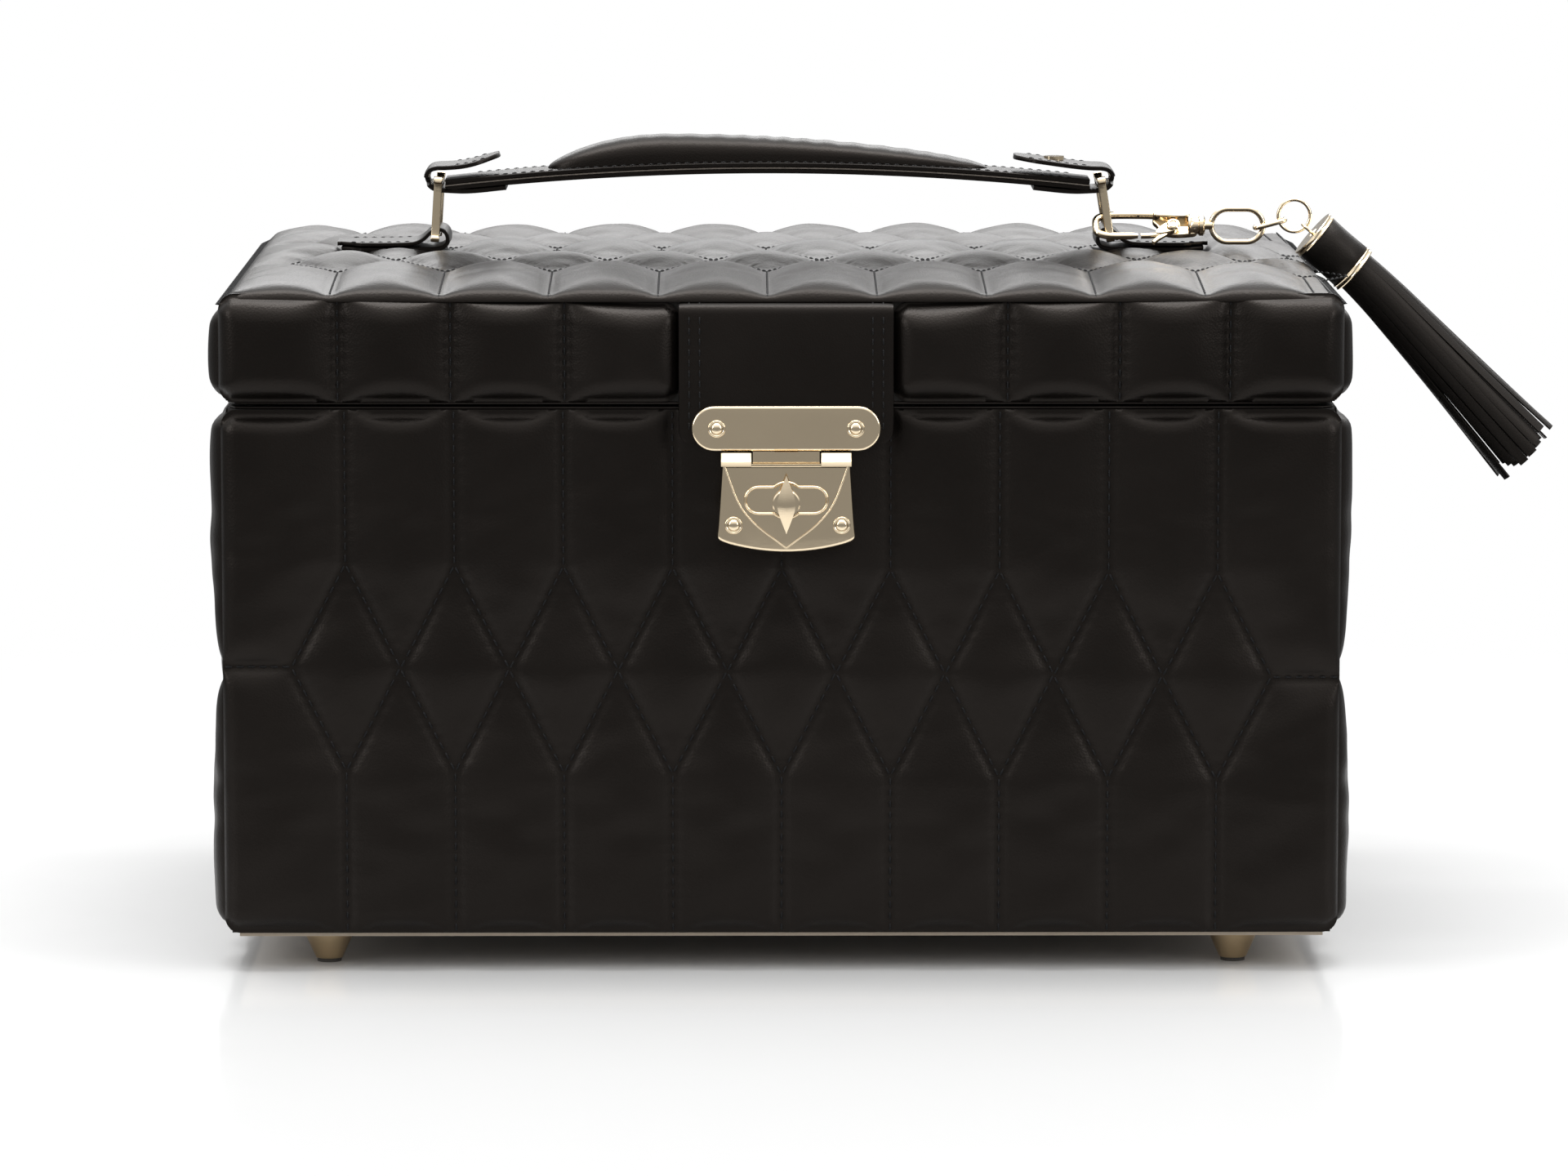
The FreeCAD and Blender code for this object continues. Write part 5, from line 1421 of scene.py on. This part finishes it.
def gold_collar(start):
    """A band with a rolled lip at each side of a shallow groove."""
    outer = cap_r + 0.3
    profile = [(cap_r - 1.2, start), (outer - 0.25, start), (outer, start + 0.28),
               (outer - 0.3, start + 0.6), (outer - 0.3, start + 1.2), (outer, start + 1.52),
               (outer - 0.25, start + gold_band), (cap_r - 1.2, start + gold_band)]
    return turned(profile, tassel_frame, 56)


bail_r, bail_wire_r = 1.9, 0.45
bail_turn = np.linspace(0, 2 * np.pi, 40, endpoint=False)
bail_path = np.stack([bail_r * np.cos(bail_turn), 0.7 + bail_r * np.sin(bail_turn)], 1)
bail_plane = Frame(pull, tassel_frame.axes[1], tassel_frame.axes[2], tassel_frame.axes[0])
disc_profile = [(6.9, cap_top + 0.35), (6.7, cap_top + 0.1), (2.2, cap_top + 0.05),
                (1.2, cap_top - 0.25), (0.01, cap_top - 0.3)]
cap_disc = turned(disc_profile, tassel_frame, 48)
bail = band(bail_path, bail_wire_r, bail_wire_r, bail_plane, True, 2, 12)
tassel_metal = [gold_collar(cap_top), gold_collar(cap_end - gold_band), cap_disc, bail]
piece("tassel_gold", together(tassel_metal), pale_gold, "tassel", ["tassel_collars"], 45)

# %% Tassel skirt
skirt_long, skirt_turn = 76.0, math.radians(47)
skirt_down = np.array([math.cos(skirt_turn), 0, -math.sin(skirt_turn)])
skirt_side = np.array([math.sin(skirt_turn), 0, math.cos(skirt_turn)])
strip_rng = np.random.default_rng(11)
share = np.linspace(0, 1, 30)


def skirt_strip(turn, inner, outer, reach, width, twist, sway):
    """One strip: it leaves the cap straight, bends to the skirt's direction and spreads outwards."""
    bend = np.clip(share / 0.25, 0, 1)[:, None]
    heading = down * (1 - bend) + skirt_down * bend
    heading = heading / np.linalg.norm(heading, axis=1, keepdims=True)
    step = reach / (len(share) - 1)
    travelled = np.vstack([[0, 0, 0], np.cumsum(heading[1:] * step, axis=0)])
    spine_points = pull + down * (cap_end - 1.6) + travelled
    radius = inner + (outer - inner) * share**1.15 + sway * np.sin(share * 5 + turn * 3) * share
    angle = turn + twist * share
    out = skirt_side * np.cos(angle)[:, None] + np.array([0, 1, 0]) * np.sin(angle)[:, None]
    side = -skirt_side * np.sin(angle)[:, None] + np.array([0, 1, 0]) * np.cos(angle)[:, None]
    core = spine_points + out * radius[:, None]
    half = width / 2 * (0.86 + 0.14 * share)
    section = [(-1, -0.5), (-0.5, -0.62), (0.5, -0.62), (1, -0.5), (1, 0.3), (0.5, 0.42), (-0.5, 0.42),
               (-1, 0.3)]
    points = np.stack([core + side * (half * a)[:, None] + out * (0.62 * b - 0.12 * a * a)
                       for a, b in section], 1)
    return skin(points, wrap=True)


strips = []
for layer_number, (count, inner, outer) in enumerate(((7, 1.6, 3.2), (12, 3.8, 6.9), (17, 6.1, 10.9))):
    for number in range(count):
        even_turn = 2 * np.pi * (number + 0.5 * (layer_number % 2)) / count
        turn = even_turn + strip_rng.uniform(-0.06, 0.06)
        width = 2 * np.pi * (inner * 0.45 + outer * 0.55) / count * strip_rng.uniform(0.82, 0.98)
        reach = skirt_long + strip_rng.uniform(-3.2, 2.2)
        strips.append(skirt_strip(turn, inner, outer + strip_rng.uniform(-0.8, 0.7), reach, width,
                                  strip_rng.uniform(-0.12, 0.12), strip_rng.uniform(-0.35, 0.35)))
piece("tassel_strips", together(strips), tassel_leather, "tassel", ["tassel_skirt"], 40)
print(len(strips), "tassel strips")

# %% [markdown]
# ## Inside
# The rims of both halves are bound with leather, so no board shows when the lid is up. The ring rolls
# are soft rods of foam in suede, which sag a little between the slots that the rings stand in.

# %% Rims
rim_inset = 2.4


def rim_binding(name, level, body):
    """A thin leather strip round the top of the walls."""
    half_x, half_y, corner = board_x - rim_inset, board_y - rim_inset, 2.0
    outline = [(-half_x + corner, -half_y), (half_x - corner, -half_y), (half_x, -half_y + corner),
               (half_x, half_y - corner), (half_x - corner, half_y), (-half_x + corner, half_y),
               (-half_x, half_y - corner), (-half_x, -half_y + corner)]
    path = even(rounded(outline, 2, True), 2.0, True)
    flat = Frame((0, 0, level), (1, 0, 0), (0, 1, 0), (0, 0, 1))
    piece(name, band(path, 2.9, 0.38, flat, True, 5, 14), strap_leather, body)


rim_binding("base_rim_binding", board_high[2] + 0.4, "base")
rim_binding("lid_rim_binding", lid_low[2] - 0.4, "lid")

# %% Ring rolls
rolls_low, rolls_high = box_mm("ring_rolls")
roll_count = 5
roll_r = 6.5
roll_pitch_y = (rolls_high[1] - rolls_low[1]) / roll_count
roll_x = np.linspace(rolls_low[0], rolls_high[0], 150)
roll_turn = np.arange(26) * 2 * np.pi / 26
into_end = (np.abs(roll_x) - (rolls_high[0] - 3)).clip(0)
end_close = np.sqrt(np.clip(1 - (into_end / 3.05) ** 2, 0.02, 1))
rolls = []
for number in range(roll_count):
    middle_y = rolls_low[1] + roll_pitch_y * (number + 0.5)
    crease_wave = 1 - 0.035 * np.sin(roll_x * 0.34 + number * 1.7) ** 6
    radius = (roll_r - 0.05) * end_close * crease_wave
    roll_y = middle_y + radius[:, None] * np.cos(roll_turn)
    roll_z = rolls_low[2] + roll_r + radius[:, None] * np.sin(roll_turn)
    points = np.stack([np.broadcast_to(roll_x[:, None], roll_y.shape), roll_y, roll_z], -1)
    rolls.append(skin(points, wrap=True))
ring_cushions = piece("ring_roll_cushions", together(rolls), lining_suede, "base",
                      ["ring_rolls"], 50)
